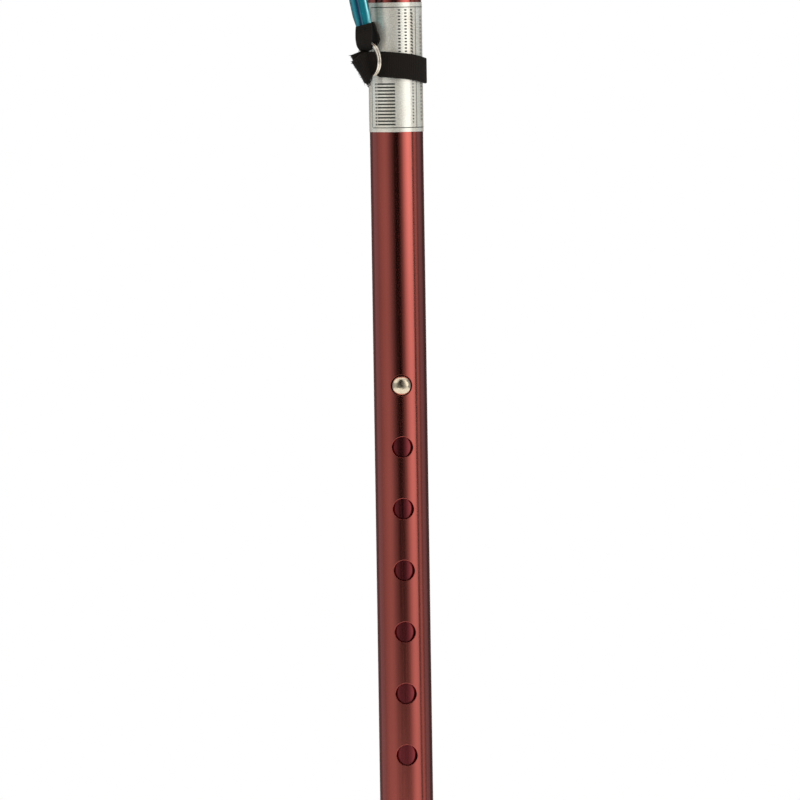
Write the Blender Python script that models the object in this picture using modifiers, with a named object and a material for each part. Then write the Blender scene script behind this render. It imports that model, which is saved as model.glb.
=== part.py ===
"""A height-adjustable walking cane, as an assembly of its separate pieces.

The shaft stands along Z with the tip's flat bottom at the origin. The row of adjusting holes and
the snap button face -Y, and the handle lies along X, its long end at -X. The pieces are placed at
the shortest setting, with the button in the highest hole.
"""

import math

import bmesh
import bpy
from mathutils import Matrix, Vector

MM = 0.001

# Shaft tubes
UPPER_OUTER_R = 11.0 * MM
UPPER_WALL = 1.2 * MM
LOWER_WALL = 1.2 * MM
TUBE_CLEARANCE = 0.3 * MM
GAP = 0.3 * MM
UPPER_BOTTOM_Z = 152.0 * MM
UPPER_LENGTH = 538.0 * MM
TUBE_STEPS = 48

# Height adjustment
HOLE_COUNT = 7
HOLE_PITCH = 25.4 * MM
HOLE_CLEARANCE = 0.5 * MM
LOWEST_HOLE_UP = 43.0 * MM
HOLE_STEPS = 32
BUTTON_R = 3.9 * MM
BUTTON_DOME = 3.0 * MM
BUTTON_DOME_BASE_IN = 0.2 * MM
BUTTON_STUB_R = 1.4 * MM
LOWER_TUBE_ABOVE_BUTTON = 35.0 * MM

# Leaf spring behind the button
SPRING_THICKNESS = 0.6 * MM
SPRING_WIDTH = 7.6 * MM
SPRING_UP = 13.0 * MM
SPRING_DOWN = 26.0 * MM
SPRING_REAR_UP = 4.0 * MM

# Glide plug in the lower tube's top end
GLIDE_DEPTH = 13.0 * MM
GLIDE_FLANGE = 2.2 * MM
GLIDE_HOLE_R = 4.0 * MM

# Rubber tip
TIP_BASE_R = 18.5 * MM
TIP_HEIGHT = 52.0 * MM
TIP_FLOOR = 12.0 * MM
TIP_WALL = 2.6 * MM
TIP_GROOVE_DEPTH = 1.2 * MM
TIP_GROOVE_WIDTH = 1.4 * MM
TIP_GROOVE_RADII = (7.0 * MM, 11.0 * MM, 15.0 * MM)
TIP_WASHER_THICKNESS = 1.5 * MM
TIP_WASHER_HOLE_R = 3.2 * MM

# Anti-rattle clamp at the upper tube's lower end
SLEEVE_WALL = 2.2 * MM
SLEEVE_UP = 19.0 * MM
SLEEVE_DOWN = 12.0 * MM
COLLET_DOWN = 18.5 * MM
COLLET_SLOTS = 4
COLLET_SLOT_WIDTH = 1.2 * MM
NUT_WALL = 2.3 * MM
NUT_COVER = 6.0 * MM
NUT_LIP = 2.6 * MM
SLIP_WASHER_THICKNESS = 0.8 * MM
NUT_RIBS = 16
NUT_RIB_HEIGHT = 0.45 * MM

# Label sleeve
LABEL_ABOVE_BUTTON = 103.8 * MM
LABEL_LENGTH = 53.6 * MM
LABEL_THICKNESS = 0.12 * MM
LABEL_GAP = 0.06 * MM

# Handle
HANDLE_SOCKET = 37.0 * MM
HANDLE_NECK_WALL = 4.6 * MM
HANDLE_NECK_FLARE = 3.2 * MM
HANDLE_NECK_HEIGHT = 42.0 * MM
HANDLE_RISE = 53.5 * MM
HANDLE_WIDTH_SHARE = 1.08
TRIM_HEIGHT = 7.0 * MM
TRIM_WALL = 3.0 * MM
PLUG_LENGTH = 34.0 * MM
SCREW_UP = 13.0 * MM
SCREW_R = 1.8 * MM
SCREW_HEAD_R = 3.4 * MM
SCREW_HEAD_HEIGHT = 2.0 * MM
SCREW_REACH = 5.0 * MM

# Handle's spine from the long end to the nose: along X, above the spine's middle height, radius
HANDLE_SPINE = (
    (-78.5 * MM, -2.4 * MM, 4.0 * MM),
    (-77.0 * MM, -2.2 * MM, 8.0 * MM),
    (-72.0 * MM, -1.8 * MM, 10.9 * MM),
    (-58.0 * MM, -1.0 * MM, 12.0 * MM),
    (-38.0 * MM, -0.4 * MM, 12.3 * MM),
    (-14.0 * MM, 0.0 * MM, 13.0 * MM),
    (10.0 * MM, -0.5 * MM, 13.8 * MM),
    (29.0 * MM, -3.6 * MM, 13.5 * MM),
    (42.0 * MM, -9.8 * MM, 12.2 * MM),
    (48.5 * MM, -16.5 * MM, 9.4 * MM),
    (51.0 * MM, -20.6 * MM, 5.6 * MM),
    (51.6 * MM, -21.8 * MM, 3.0 * MM),
)

# Webbing strap round the shaft
STRAP_UP_LABEL = 27.2 * MM
STRAP_WIDTH = 10.0 * MM
STRAP_THICKNESS = 1.3 * MM
STRAP_SLOPE = 0.172
STRAP_LAYER_GAP = 0.2 * MM

# The tail's outline past the ring, from below to above: outwards, and up from the strap's middle
STRAP_TAIL = (
    (0.2 * MM, -7.1 * MM),
    (1.5 * MM, -7.1 * MM),
    (8.6 * MM, 2.4 * MM),
    (8.6 * MM, 4.9 * MM),
    (3.8 * MM, 6.1 * MM),
)

# The strap's tail, the ring and the tab are turned this far about the shaft from the holes' row
WRIST_TURN = math.radians(-2.6)

# Split ring on the strap's tail; its plane is upright, and its normal lies FACING from +X
RING_R = 7.0 * MM
RING_RADIAL = 1.1 * MM
RING_TURN = 0.95 * MM
RING_FACING = math.radians(34.0)
RING_STANDOFF = 1.05 * MM
RING_SIDEWAYS = 2.9 * MM
RING_ABOVE_STRAP = 0.8 * MM
RING_STEPS = 48

# Sewn tab that joins the wrist loop to the ring
TAB_LEFT_OF_RING = 2.15 * MM
TAB_BEFORE_RING = 1.95 * MM
TAB_HALF_X = 4.9 * MM
TAB_HALF_Y = 5.2 * MM
TAB_HEIGHT = 10.3 * MM
TAB_UNDER_RING = 1.35 * MM
TAB_FOOT_SHARE = 0.72
TAB_FOOT_HEIGHT = 2.6 * MM

# Wrist loop: a flat cord in a plane that leans to -X as it rises from the tab
LOOP_WIDTH = 7.5 * MM
LOOP_THICKNESS = 4.0 * MM
LOOP_LEAN = 0.195
LOOP_FOOT_X = -13.6 * MM
LOOP_FOOT_Z = 497.0 * MM
LOOP_ROUTE = (
    (-13.7 * MM, 497.0 * MM),
    (-13.9 * MM, 507.0 * MM),
    (-14.4 * MM, 525.0 * MM),
    (-15.6 * MM, 555.0 * MM),
    (-16.3 * MM, 595.0 * MM),
    (-16.9 * MM, 640.0 * MM),
    (-17.1 * MM, 680.0 * MM),
    (-16.7 * MM, 700.0 * MM),
    (-15.3 * MM, 710.0 * MM),
    (-12.2 * MM, 715.9 * MM),
    (-6.7 * MM, 719.6 * MM),
    (0.0 * MM, 720.8 * MM),
    (6.7 * MM, 719.6 * MM),
    (12.2 * MM, 715.9 * MM),
    (15.3 * MM, 710.0 * MM),
    (16.7 * MM, 700.0 * MM),
    (16.6 * MM, 685.0 * MM),
    (14.7 * MM, 655.0 * MM),
    (10.6 * MM, 615.0 * MM),
    (5.2 * MM, 575.0 * MM),
    (-0.8 * MM, 540.0 * MM),
    (-5.6 * MM, 518.0 * MM),
    (-8.4 * MM, 504.5 * MM),
    (-9.4 * MM, 497.0 * MM),
)
LOOP_POINTS = 60

# Sizes and places that follow from those above
UPPER_INNER_R = UPPER_OUTER_R - UPPER_WALL
LOWER_OUTER_R = UPPER_INNER_R - TUBE_CLEARANCE
LOWER_INNER_R = LOWER_OUTER_R - LOWER_WALL
LOWEST_HOLE_Z = UPPER_BOTTOM_Z + LOWEST_HOLE_UP
BUTTON_Z = LOWEST_HOLE_Z + (HOLE_COUNT - 1) * HOLE_PITCH
UPPER_TOP_Z = UPPER_BOTTOM_Z + UPPER_LENGTH
LOWER_TOP_Z = BUTTON_Z + LOWER_TUBE_ABOVE_BUTTON
LOWER_BOTTOM_Z = TIP_FLOOR + GAP + TIP_WASHER_THICKNESS + GAP
HOLE_R = BUTTON_R + HOLE_CLEARANCE
BUTTON_HOLE_R = BUTTON_R + GAP
BUTTON_BACK_R = LOWER_INNER_R - 1.0 * MM
SPRING_ARM_R = BUTTON_BACK_R - GAP - SPRING_THICKNESS / 2
LABEL_BOTTOM_Z = BUTTON_Z + LABEL_ABOVE_BUTTON
LABEL_INNER_R = UPPER_OUTER_R + LABEL_GAP
LABEL_OUTER_R = LABEL_INNER_R + LABEL_THICKNESS
NECK_Z = UPPER_TOP_Z - HANDLE_SOCKET
SPINE_Z = NECK_Z + HANDLE_RISE
SCREW_Z = NECK_Z + SCREW_UP
STRAP_Z = LABEL_BOTTOM_Z + STRAP_UP_LABEL
STRAP_INNER_R = LABEL_OUTER_R + GAP
STRAP_OUTER_R = STRAP_INNER_R + STRAP_THICKNESS
TAIL_THICKNESS = 2 * STRAP_THICKNESS + STRAP_LAYER_GAP
RING_OUT = STRAP_OUTER_R + RING_STANDOFF
RING_NORMAL = Vector((math.cos(RING_FACING), math.sin(RING_FACING), 0.0))
RING_ACROSS = Vector((math.sin(RING_FACING), -math.cos(RING_FACING), 0.0))
SLEEVE_INNER_R = UPPER_OUTER_R + GAP
SLEEVE_OUTER_R = SLEEVE_INNER_R + SLEEVE_WALL
NUT_INNER_R = SLEEVE_OUTER_R + GAP
NUT_OUTER_R = NUT_INNER_R + NUT_WALL
SLIP_WASHER_Z = UPPER_BOTTOM_Z - COLLET_DOWN - GAP - SLIP_WASHER_THICKNESS
NUT_BOTTOM_Z = SLIP_WASHER_Z - GAP - NUT_LIP
NUT_TOP_Z = UPPER_BOTTOM_Z + NUT_COVER


def tail_line(out):
    """The middle of the strap's tail, at a distance out from the shaft's axis."""
    flat = RING_SIDEWAYS * RING_ACROSS - out * RING_NORMAL
    return Vector((flat.x, flat.y, STRAP_Z - STRAP_SLOPE * flat.x))


def ring_centre():
    """The split ring's centre, on the strap's tail."""
    return tail_line(RING_OUT) + Vector((0.0, 0.0, RING_ABOVE_STRAP))


# Scene helpers


def clear_scene():
    """Removes every object, and gives the collections for the parts and the cutters."""
    for obj in list(bpy.data.objects):
        bpy.data.objects.remove(obj, do_unlink=True)
    made = []
    for name in ("walking_cane", "cutters"):
        collection = bpy.data.collections.new(name)
        bpy.context.scene.collection.children.link(collection)
        made.append(collection)
    return made


PARTS, CUTTERS = clear_scene()


def finish(name, colour, roughness, metallic=0.0):
    """A Principled material of one colour."""
    material = bpy.data.materials.new(name)
    material.use_nodes = True
    shader = material.node_tree.nodes["Principled BSDF"]
    shader.inputs["Base Color"].default_value = (*colour, 1.0)
    shader.inputs["Roughness"].default_value = roughness
    shader.inputs["Metallic"].default_value = metallic
    return material


RED_ALUMINIUM = finish("red_anodised_aluminium", (0.30, 0.075, 0.055), 0.28, 0.9)
NICKEL = finish("polished_nickel", (0.72, 0.68, 0.62), 0.15, 1.0)
SPRING_STEEL = finish("spring_steel", (0.45, 0.46, 0.48), 0.35, 1.0)
BLACK_PLASTIC = finish("black_moulded_plastic", (0.02, 0.02, 0.021), 0.5)
WHITE_NYLON = finish("white_nylon", (0.78, 0.77, 0.73), 0.45)
BLACK_RUBBER = finish("black_rubber", (0.025, 0.025, 0.025), 0.8)
SILVER_FOIL = finish("silver_foil", (0.74, 0.74, 0.68), 0.35, 0.6)
BLACK_WEBBING = finish("black_webbing", (0.015, 0.014, 0.014), 0.85)
TEAL_CORD = finish("teal_gloss_cord", (0.01, 0.22, 0.26), 0.2, 0.5)


def move_to(collection, obj):
    """Keeps an object in one collection only."""
    for other in list(obj.users_collection):
        other.objects.unlink(obj)
    collection.objects.link(obj)


def axis_empty(name, place, parent=None):
    """An empty on a joint's axis, which carries the pieces that move about it."""
    empty = bpy.data.objects.new(name, None)
    empty.empty_display_size = 10 * MM
    PARTS.objects.link(empty)
    empty.parent = parent
    start = Vector(place)
    walk = parent
    while walk is not None:
        start -= walk.location
        walk = walk.parent
    empty.location = start
    return empty


def add_part(obj, place, parent, material):
    """Puts an object at a place in the world, under the empty that carries it."""
    move_to(PARTS, obj)
    here = Vector(place)
    walk = parent
    while walk is not None:
        here -= walk.location
        walk = walk.parent
    obj.parent = parent
    obj.location = here
    obj.data.materials.clear()
    obj.data.materials.append(material)
    return obj


def add_cutter(obj):
    """Keeps an object as a cutter, out of the render."""
    move_to(CUTTERS, obj)
    obj.hide_render = True
    obj.display_type = "WIRE"
    return obj


def combine(target, other, operation="DIFFERENCE"):
    """Cuts or joins another object, which becomes a cutter."""
    add_cutter(other)
    boolean = target.modifiers.new(f"{operation.title()} {other.name}", "BOOLEAN")
    boolean.operation = operation
    boolean.solver = "EXACT"
    boolean.object = other
    return target


def turned(name, profile, steps):
    """A turned shape from (radius, height) points that run down its outer side.

    A profile that starts on the axis is a solid, and any other is a closed ring.
    """
    mesh = bpy.data.meshes.new(name)
    points = [(radius, 0.0, height) for radius, height in profile]
    edges = [(i, i + 1) for i in range(len(points) - 1)]
    if profile[0][0] > 0.0:
        edges.append((len(points) - 1, 0))
    mesh.from_pydata(points, edges, [])
    obj = bpy.data.objects.new(name, mesh)
    PARTS.objects.link(obj)
    screw = obj.modifiers.new("Turn", "SCREW")
    screw.steps = steps
    screw.render_steps = steps
    screw.use_merge_vertices = True
    screw.merge_threshold = 0.001 * MM
    return obj


def ring_profile(inner, outer, low, high):
    """The profile of a plain ring."""
    return [(outer, high), (outer, low), (inner, low), (inner, high)]


def rod(name, radius, start, end, steps=HOLE_STEPS):
    """A cylinder between two points."""
    start = Vector(start)
    end = Vector(end)
    along = end - start
    bpy.ops.mesh.primitive_cylinder_add(vertices=steps, radius=radius, depth=along.length)
    obj = bpy.context.object
    obj.name = name
    obj.rotation_euler = along.to_track_quat("Z", "Y").to_euler()
    obj.location = (start + end) / 2
    return obj


def box(name, size, centre, turn=0.0):
    """A box of a size, turned about Z."""
    bpy.ops.mesh.primitive_cube_add(size=1.0)
    obj = bpy.context.object
    obj.name = name
    obj.data.transform(Matrix.Diagonal((*size, 1.0)))
    obj.rotation_euler = (0.0, 0.0, turn)
    obj.location = centre
    return obj


def flat_outline(name, loops, half_height):
    """A flat shape from closed loops of (x, y) points, with a thickness along Z."""
    curve = bpy.data.curves.new(name, "CURVE")
    curve.dimensions = "2D"
    curve.fill_mode = "BOTH"
    curve.extrude = half_height
    for loop in loops:
        spline = curve.splines.new("POLY")
        spline.points.add(len(loop) - 1)
        spline.use_cyclic_u = True
        for point, (x, y) in zip(spline.points, loop):
            point.co = (x, y, 0.0, 1.0)
    obj = bpy.data.objects.new(name, curve)
    PARTS.objects.link(obj)
    return obj


def as_mesh(obj):
    """The mesh object that a curve makes, with its caps welded; the curve goes."""
    bpy.context.view_layer.update()
    graph = bpy.context.evaluated_depsgraph_get()
    mesh = bpy.data.meshes.new_from_object(obj.evaluated_get(graph))
    work = bmesh.new()
    work.from_mesh(mesh)
    bmesh.ops.remove_doubles(work, verts=work.verts, dist=0.001 * MM)
    bmesh.ops.recalc_face_normals(work, faces=work.faces)
    work.to_mesh(mesh)
    work.free()
    name = obj.name
    made = bpy.data.objects.new(name, mesh)
    PARTS.objects.link(made)
    made.matrix_world = obj.matrix_world
    bpy.data.objects.remove(obj, do_unlink=True)
    made.name = name
    return made


def smooth(obj, angle=40.0):
    """Shades a round piece smooth, and keeps its edges sharp."""
    obj.data.shade_smooth()
    obj.data.set_sharp_from_angle(angle=math.radians(angle))


# Shaft


def make_upper_tube(carrier):
    """The upper tube, with the row of adjusting holes in its front wall and the screw's hole."""
    profile = ring_profile(UPPER_INNER_R, UPPER_OUTER_R, 0.0, UPPER_LENGTH)
    tube = turned("upper_tube", profile, TUBE_STEPS)
    add_part(tube, (0, 0, UPPER_BOTTOM_Z), carrier, RED_ALUMINIUM)
    for number in range(HOLE_COUNT):
        height = LOWEST_HOLE_Z + number * HOLE_PITCH
        inside = (0, -UPPER_INNER_R / 2, height)
        outside = (0, -2 * UPPER_OUTER_R, height)
        combine(tube, rod(f"adjusting_hole_{number + 1}", HOLE_R, inside, outside))
    inside = (0, UPPER_INNER_R / 2, SCREW_Z)
    outside = (0, 2 * UPPER_OUTER_R, SCREW_Z)
    combine(tube, rod("tube_screw_hole", SCREW_R + GAP, inside, outside))
    smooth(tube)


def make_lower_tube(carrier):
    """The lower tube, with the button's hole near its top end."""
    length = LOWER_TOP_Z - LOWER_BOTTOM_Z
    tube = turned("lower_tube", ring_profile(LOWER_INNER_R, LOWER_OUTER_R, 0.0, length), TUBE_STEPS)
    add_part(tube, (0, 0, LOWER_BOTTOM_Z), carrier, RED_ALUMINIUM)
    inside = (0, -LOWER_INNER_R / 2, BUTTON_Z)
    combine(tube, rod("button_hole", BUTTON_HOLE_R, inside, (0, -2 * LOWER_OUTER_R, BUTTON_Z)))
    smooth(tube)


def make_label(carrier):
    """The foil label that wraps the upper tube."""
    profile = ring_profile(LABEL_INNER_R, LABEL_OUTER_R, 0.0, LABEL_LENGTH)
    label = turned("tube_label", profile, TUBE_STEPS)
    add_part(label, (0, 0, LABEL_BOTTOM_Z), carrier, SILVER_FOIL)
    smooth(label)


# Height adjustment


def make_snap_button(carrier):
    """The domed button, with the stub that holds it in the leaf spring."""
    base = UPPER_OUTER_R - BUTTON_DOME_BASE_IN
    rings = 8
    dome = []
    for step in range(rings):
        angle = 0.5 * math.pi * step / rings
        dome.append((BUTTON_R * math.sin(angle), base + BUTTON_DOME * math.cos(angle)))
    stub_end = SPRING_ARM_R - SPRING_THICKNESS / 2 - GAP
    profile = dome + [
        (BUTTON_R, base),
        (BUTTON_R, BUTTON_BACK_R),
        (BUTTON_STUB_R, BUTTON_BACK_R),
        (BUTTON_STUB_R, stub_end),
        (0.0, stub_end),
    ]
    button = turned("snap_button", profile, HOLE_STEPS)
    add_part(button, (0, 0, BUTTON_Z), carrier, NICKEL)
    button.rotation_euler = (math.radians(90), 0, 0)
    smooth(button)


def make_button_spring(carrier):
    """The leaf spring: a strip bent in a U inside the lower tube, open at its top."""
    bend_steps = 12
    path = [(-SPRING_ARM_R, SPRING_UP), (-SPRING_ARM_R, -SPRING_DOWN)]
    for step in range(1, bend_steps):
        angle = math.pi * step / bend_steps
        path.append((-SPRING_ARM_R * math.cos(angle), -SPRING_DOWN - SPRING_ARM_R * math.sin(angle)))
    path += [(SPRING_ARM_R, -SPRING_DOWN), (SPRING_ARM_R, SPRING_REAR_UP)]
    mesh = bpy.data.meshes.new("button_spring")
    work = bmesh.new()
    corners = [work.verts.new((-SPRING_WIDTH / 2, y, z)) for y, z in path]
    edges = [work.edges.new(pair) for pair in zip(corners[:-1], corners[1:])]
    swept = bmesh.ops.extrude_edge_only(work, edges=edges)["geom"]
    moved = [item for item in swept if isinstance(item, bmesh.types.BMVert)]
    bmesh.ops.translate(work, verts=moved, vec=(SPRING_WIDTH, 0, 0))
    bmesh.ops.recalc_face_normals(work, faces=work.faces)
    work.to_mesh(mesh)
    work.free()
    spring = bpy.data.objects.new("button_spring", mesh)
    add_part(spring, (0, 0, BUTTON_Z), carrier, SPRING_STEEL)
    shell = spring.modifiers.new("Thickness", "SOLIDIFY")
    shell.thickness = SPRING_THICKNESS
    shell.offset = 0.0
    shell.use_even_offset = True
    stub_hole = rod("stub_hole", BUTTON_STUB_R + GAP, (0, -BUTTON_BACK_R, BUTTON_Z), (0, 0, BUTTON_Z))
    combine(spring, stub_hole)


def make_glide_plug(carrier):
    """The nylon plug in the lower tube's top end, whose flange glides in the upper tube."""
    body = LOWER_INNER_R - GAP
    flange = LOWER_OUTER_R
    profile = [
        (flange, GAP + GLIDE_FLANGE),
        (flange, GAP),
        (body, GAP),
        (body, -GLIDE_DEPTH),
        (GLIDE_HOLE_R, -GLIDE_DEPTH),
        (GLIDE_HOLE_R, GAP + GLIDE_FLANGE),
    ]
    plug = turned("glide_plug", profile, TUBE_STEPS)
    add_part(plug, (0, 0, LOWER_TOP_Z), carrier, WHITE_NYLON)
    smooth(plug)


# Anti-rattle clamp


def make_thread_sleeve(carrier):
    """The threaded sleeve that is fixed round the upper tube's lower end."""
    groove = 0.5 * MM
    threads = 5
    pitch = (SLEEVE_DOWN + NUT_COVER) / (threads + 1)
    profile = [(SLEEVE_OUTER_R - 0.8 * MM, SLEEVE_UP), (SLEEVE_OUTER_R, SLEEVE_UP - 0.8 * MM)]
    for number in range(threads):
        high = NUT_COVER - number * pitch
        profile += [
            (SLEEVE_OUTER_R, high),
            (SLEEVE_OUTER_R - groove, high - 0.35 * pitch),
            (SLEEVE_OUTER_R, high - 0.7 * pitch),
        ]
    profile += [(SLEEVE_OUTER_R, -SLEEVE_DOWN), (SLEEVE_INNER_R, -SLEEVE_DOWN), (SLEEVE_INNER_R, SLEEVE_UP)]
    sleeve = turned("thread_sleeve", profile, TUBE_STEPS)
    add_part(sleeve, (0, 0, UPPER_BOTTOM_Z), carrier, BLACK_PLASTIC)
    smooth(sleeve)


def make_collet(carrier):
    """The split ring of nylon that the nut squeezes on to the lower tube."""
    outer = SLEEVE_INNER_R - GAP
    inner = LOWER_OUTER_R + GAP
    chamfer = min(1.6 * MM, 0.6 * (outer - inner))
    profile = [
        (outer, -GAP),
        (outer, -COLLET_DOWN + 3 * chamfer),
        (outer - chamfer, -COLLET_DOWN),
        (inner, -COLLET_DOWN),
        (inner, -GAP),
    ]
    collet = turned("collet", profile, TUBE_STEPS)
    add_part(collet, (0, 0, UPPER_BOTTOM_Z), carrier, WHITE_NYLON)
    slot_height = 0.7 * COLLET_DOWN
    for number in range(COLLET_SLOTS):
        turn = 2 * math.pi * (number + 0.5) / COLLET_SLOTS
        middle = (outer + inner) / 2
        centre = (middle * math.cos(turn), middle * math.sin(turn), UPPER_BOTTOM_Z - COLLET_DOWN)
        size = (4 * (outer - inner), COLLET_SLOT_WIDTH, 2 * slot_height)
        combine(collet, box(f"collet_slot_{number + 1}", size, centre, turn))
    smooth(collet)


def make_slip_washer(carrier):
    """The thin washer between the nut's lip and the collet, which lets the nut turn freely."""
    profile = ring_profile(LOWER_OUTER_R + GAP, NUT_INNER_R - GAP, 0.0, SLIP_WASHER_THICKNESS)
    washer = turned("slip_washer", profile, TUBE_STEPS)
    add_part(washer, (0, 0, SLIP_WASHER_Z), carrier, SPRING_STEEL)
    smooth(washer)


def make_lock_nut(carrier):
    """The ribbed nut round the sleeve, with a lip under the collet."""
    per_rib = 6
    count = NUT_RIBS * per_rib
    outline = []
    for number in range(count):
        angle = 2 * math.pi * number / count
        radius = NUT_OUTER_R + NUT_RIB_HEIGHT * math.cos(NUT_RIBS * angle)
        outline.append((radius * math.cos(angle), radius * math.sin(angle)))
    half = (NUT_TOP_Z - NUT_BOTTOM_Z) / 2
    middle = (NUT_TOP_Z + NUT_BOTTOM_Z) / 2
    nut = as_mesh(flat_outline("lock_nut", [outline], half))
    add_part(nut, (0, 0, middle), carrier, BLACK_PLASTIC)
    lip_top = NUT_BOTTOM_Z + NUT_LIP
    cavity = rod("nut_cavity", NUT_INNER_R, (0, 0, lip_top), (0, 0, NUT_TOP_Z + NUT_LIP), TUBE_STEPS)
    below = (0, 0, NUT_BOTTOM_Z - NUT_LIP)
    bore = rod("nut_bore", LOWER_OUTER_R + 1.5 * GAP, below, (0, 0, lip_top + GAP), TUBE_STEPS)
    combine(nut, cavity)
    combine(nut, bore)


# Tip


def make_rubber_tip(carrier):
    """The rubber tip: a wide grooved foot that narrows to a sleeve round the lower tube."""
    bore = LOWER_OUTER_R + GAP
    neck = bore + TIP_WALL
    bead = 0.9 * MM
    profile = [
        (neck, TIP_HEIGHT),
        (neck + bead, TIP_HEIGHT - 1.0 * MM),
        (neck + bead, TIP_HEIGHT - 4.0 * MM),
        (neck, TIP_HEIGHT - 5.5 * MM),
        (neck + 0.4 * MM, 0.46 * TIP_HEIGHT),
        (neck + 2.4 * MM, 0.30 * TIP_HEIGHT),
        (TIP_BASE_R - 1.6 * MM, 0.14 * TIP_HEIGHT),
        (TIP_BASE_R, 0.09 * TIP_HEIGHT),
        (TIP_BASE_R, 1.2 * MM),
        (TIP_BASE_R - 1.0 * MM, 0.0),
    ]
    for radius in reversed(TIP_GROOVE_RADII):
        profile += [
            (radius + TIP_GROOVE_WIDTH / 2, 0.0),
            (radius + TIP_GROOVE_WIDTH / 2, TIP_GROOVE_DEPTH),
            (radius - TIP_GROOVE_WIDTH / 2, TIP_GROOVE_DEPTH),
            (radius - TIP_GROOVE_WIDTH / 2, 0.0),
        ]
    profile = [(0.0, TIP_FLOOR), (bore, TIP_FLOOR), (bore, TIP_HEIGHT)] + profile + [(0.0, 0.0)]
    tip = turned("rubber_tip", profile, TUBE_STEPS)
    add_part(tip, (0, 0, 0), carrier, BLACK_RUBBER)
    smooth(tip)


def make_tip_washer(carrier):
    """The steel washer that keeps the tube's edge from cutting the rubber."""
    profile = ring_profile(TIP_WASHER_HOLE_R, LOWER_OUTER_R - GAP, 0.0, TIP_WASHER_THICKNESS)
    washer = turned("tip_washer", profile, TUBE_STEPS)
    add_part(washer, (0, 0, TIP_FLOOR + GAP), carrier, SPRING_STEEL)
    smooth(washer)


# Handle


def make_handle_grip(carrier):
    """The moulded handle: a swept grip on a neck, with a socket for the tube."""
    curve = bpy.data.curves.new("handle_grip", "CURVE")
    curve.dimensions = "3D"
    curve.bevel_depth = 1.0
    curve.bevel_resolution = 6
    curve.resolution_u = 5
    curve.use_fill_caps = True
    spline = curve.splines.new("BEZIER")
    spline.bezier_points.add(len(HANDLE_SPINE) - 1)
    for point, (x, up, radius) in zip(spline.bezier_points, HANDLE_SPINE):
        point.co = (x, 0.0, up)
        point.radius = radius
        point.handle_left_type = "AUTO"
        point.handle_right_type = "AUTO"
    swept = bpy.data.objects.new("handle_grip", curve)
    PARTS.objects.link(swept)
    grip = as_mesh(swept)
    grip.data.transform(Matrix.Diagonal((1.0, HANDLE_WIDTH_SHARE, 1.0, 1.0)))
    add_part(grip, (0, 0, SPINE_Z), carrier, BLACK_PLASTIC)
    neck_r = UPPER_OUTER_R + GAP + HANDLE_NECK_WALL
    neck_profile = [
        (0.0, HANDLE_NECK_HEIGHT),
        (neck_r + HANDLE_NECK_FLARE, HANDLE_NECK_HEIGHT),
        (neck_r + 0.4 * HANDLE_NECK_FLARE, 0.72 * HANDLE_NECK_HEIGHT),
        (neck_r, 0.4 * HANDLE_NECK_HEIGHT),
        (neck_r, 1.0 * MM),
        (neck_r - 1.0 * MM, 0.0),
        (0.0, 0.0),
    ]
    neck = turned("handle_neck", neck_profile, TUBE_STEPS)
    neck.data.transform(Matrix.Translation((0, 0, NECK_Z)))
    combine(grip, neck, "UNION")
    mouth = (0, 0, NECK_Z - HANDLE_NECK_WALL)
    socket_top = (0, 0, UPPER_TOP_Z + GAP)
    combine(grip, rod("tube_socket", UPPER_OUTER_R + GAP, mouth, socket_top, TUBE_STEPS))
    seat = neck_r - SCREW_HEAD_HEIGHT - GAP
    combine(grip, rod("screw_way", SCREW_R + GAP, (0, 0, SCREW_Z), (0, 2 * neck_r, SCREW_Z)))
    combine(grip, rod("screw_seat", SCREW_HEAD_R + GAP, (0, seat, SCREW_Z), (0, 2 * neck_r, SCREW_Z)))
    smooth(grip)


def make_trim_ring(carrier):
    """The bright ring between the handle's neck and the tube."""
    inner = UPPER_OUTER_R + GAP
    outer = inner + TRIM_WALL
    edge = 0.6 * MM
    profile = [
        (outer - edge, TRIM_HEIGHT),
        (outer, TRIM_HEIGHT - edge),
        (outer, edge),
        (outer - edge, 0.0),
        (inner, 0.0),
        (inner, TRIM_HEIGHT),
    ]
    trim = turned("trim_ring", profile, TUBE_STEPS)
    add_part(trim, (0, 0, NECK_Z - GAP - TRIM_HEIGHT), carrier, NICKEL)
    smooth(trim)


def make_handle_plug(carrier):
    """The nylon plug inside the tube's top end, which the handle's screw bites into."""
    radius = UPPER_INNER_R - GAP
    plug = rod("handle_plug", radius, (0, 0, -PLUG_LENGTH / 2), (0, 0, PLUG_LENGTH / 2), TUBE_STEPS)
    add_part(plug, (0, 0, UPPER_TOP_Z - PLUG_LENGTH / 2), carrier, WHITE_NYLON)
    depth = radius - SCREW_REACH - GAP
    combine(plug, rod("plug_screw_hole", SCREW_R + GAP, (0, depth, SCREW_Z), (0, 2 * radius, SCREW_Z)))
    smooth(plug)


def make_handle_screw(carrier):
    """The screw at the back of the neck: head, shank and a cross slot."""
    head_top = UPPER_OUTER_R + GAP + HANDLE_NECK_WALL
    seat = head_top - SCREW_HEAD_HEIGHT
    end = UPPER_INNER_R - GAP - SCREW_REACH
    profile = [
        (0.0, head_top),
        (SCREW_HEAD_R - 0.8 * MM, head_top),
        (SCREW_HEAD_R, head_top - 0.8 * MM),
        (SCREW_HEAD_R, seat),
        (SCREW_R, seat),
        (SCREW_R, end + SCREW_R),
        (0.0, end),
    ]
    screw = turned("handle_screw", profile, HOLE_STEPS)
    add_part(screw, (0, 0, SCREW_Z), carrier, NICKEL)
    screw.rotation_euler = (math.radians(-90), 0, 0)
    slot_depth = 1.0 * MM
    slot_width = 0.9 * MM
    slot_length = 1.3 * SCREW_HEAD_R
    centre = (0, head_top, SCREW_Z)
    combine(screw, box("screw_slot_across", (slot_length, 2 * slot_depth, slot_width), centre))
    combine(screw, box("screw_slot_upright", (slot_width, 2 * slot_depth, slot_length), centre))
    smooth(screw)


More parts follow.
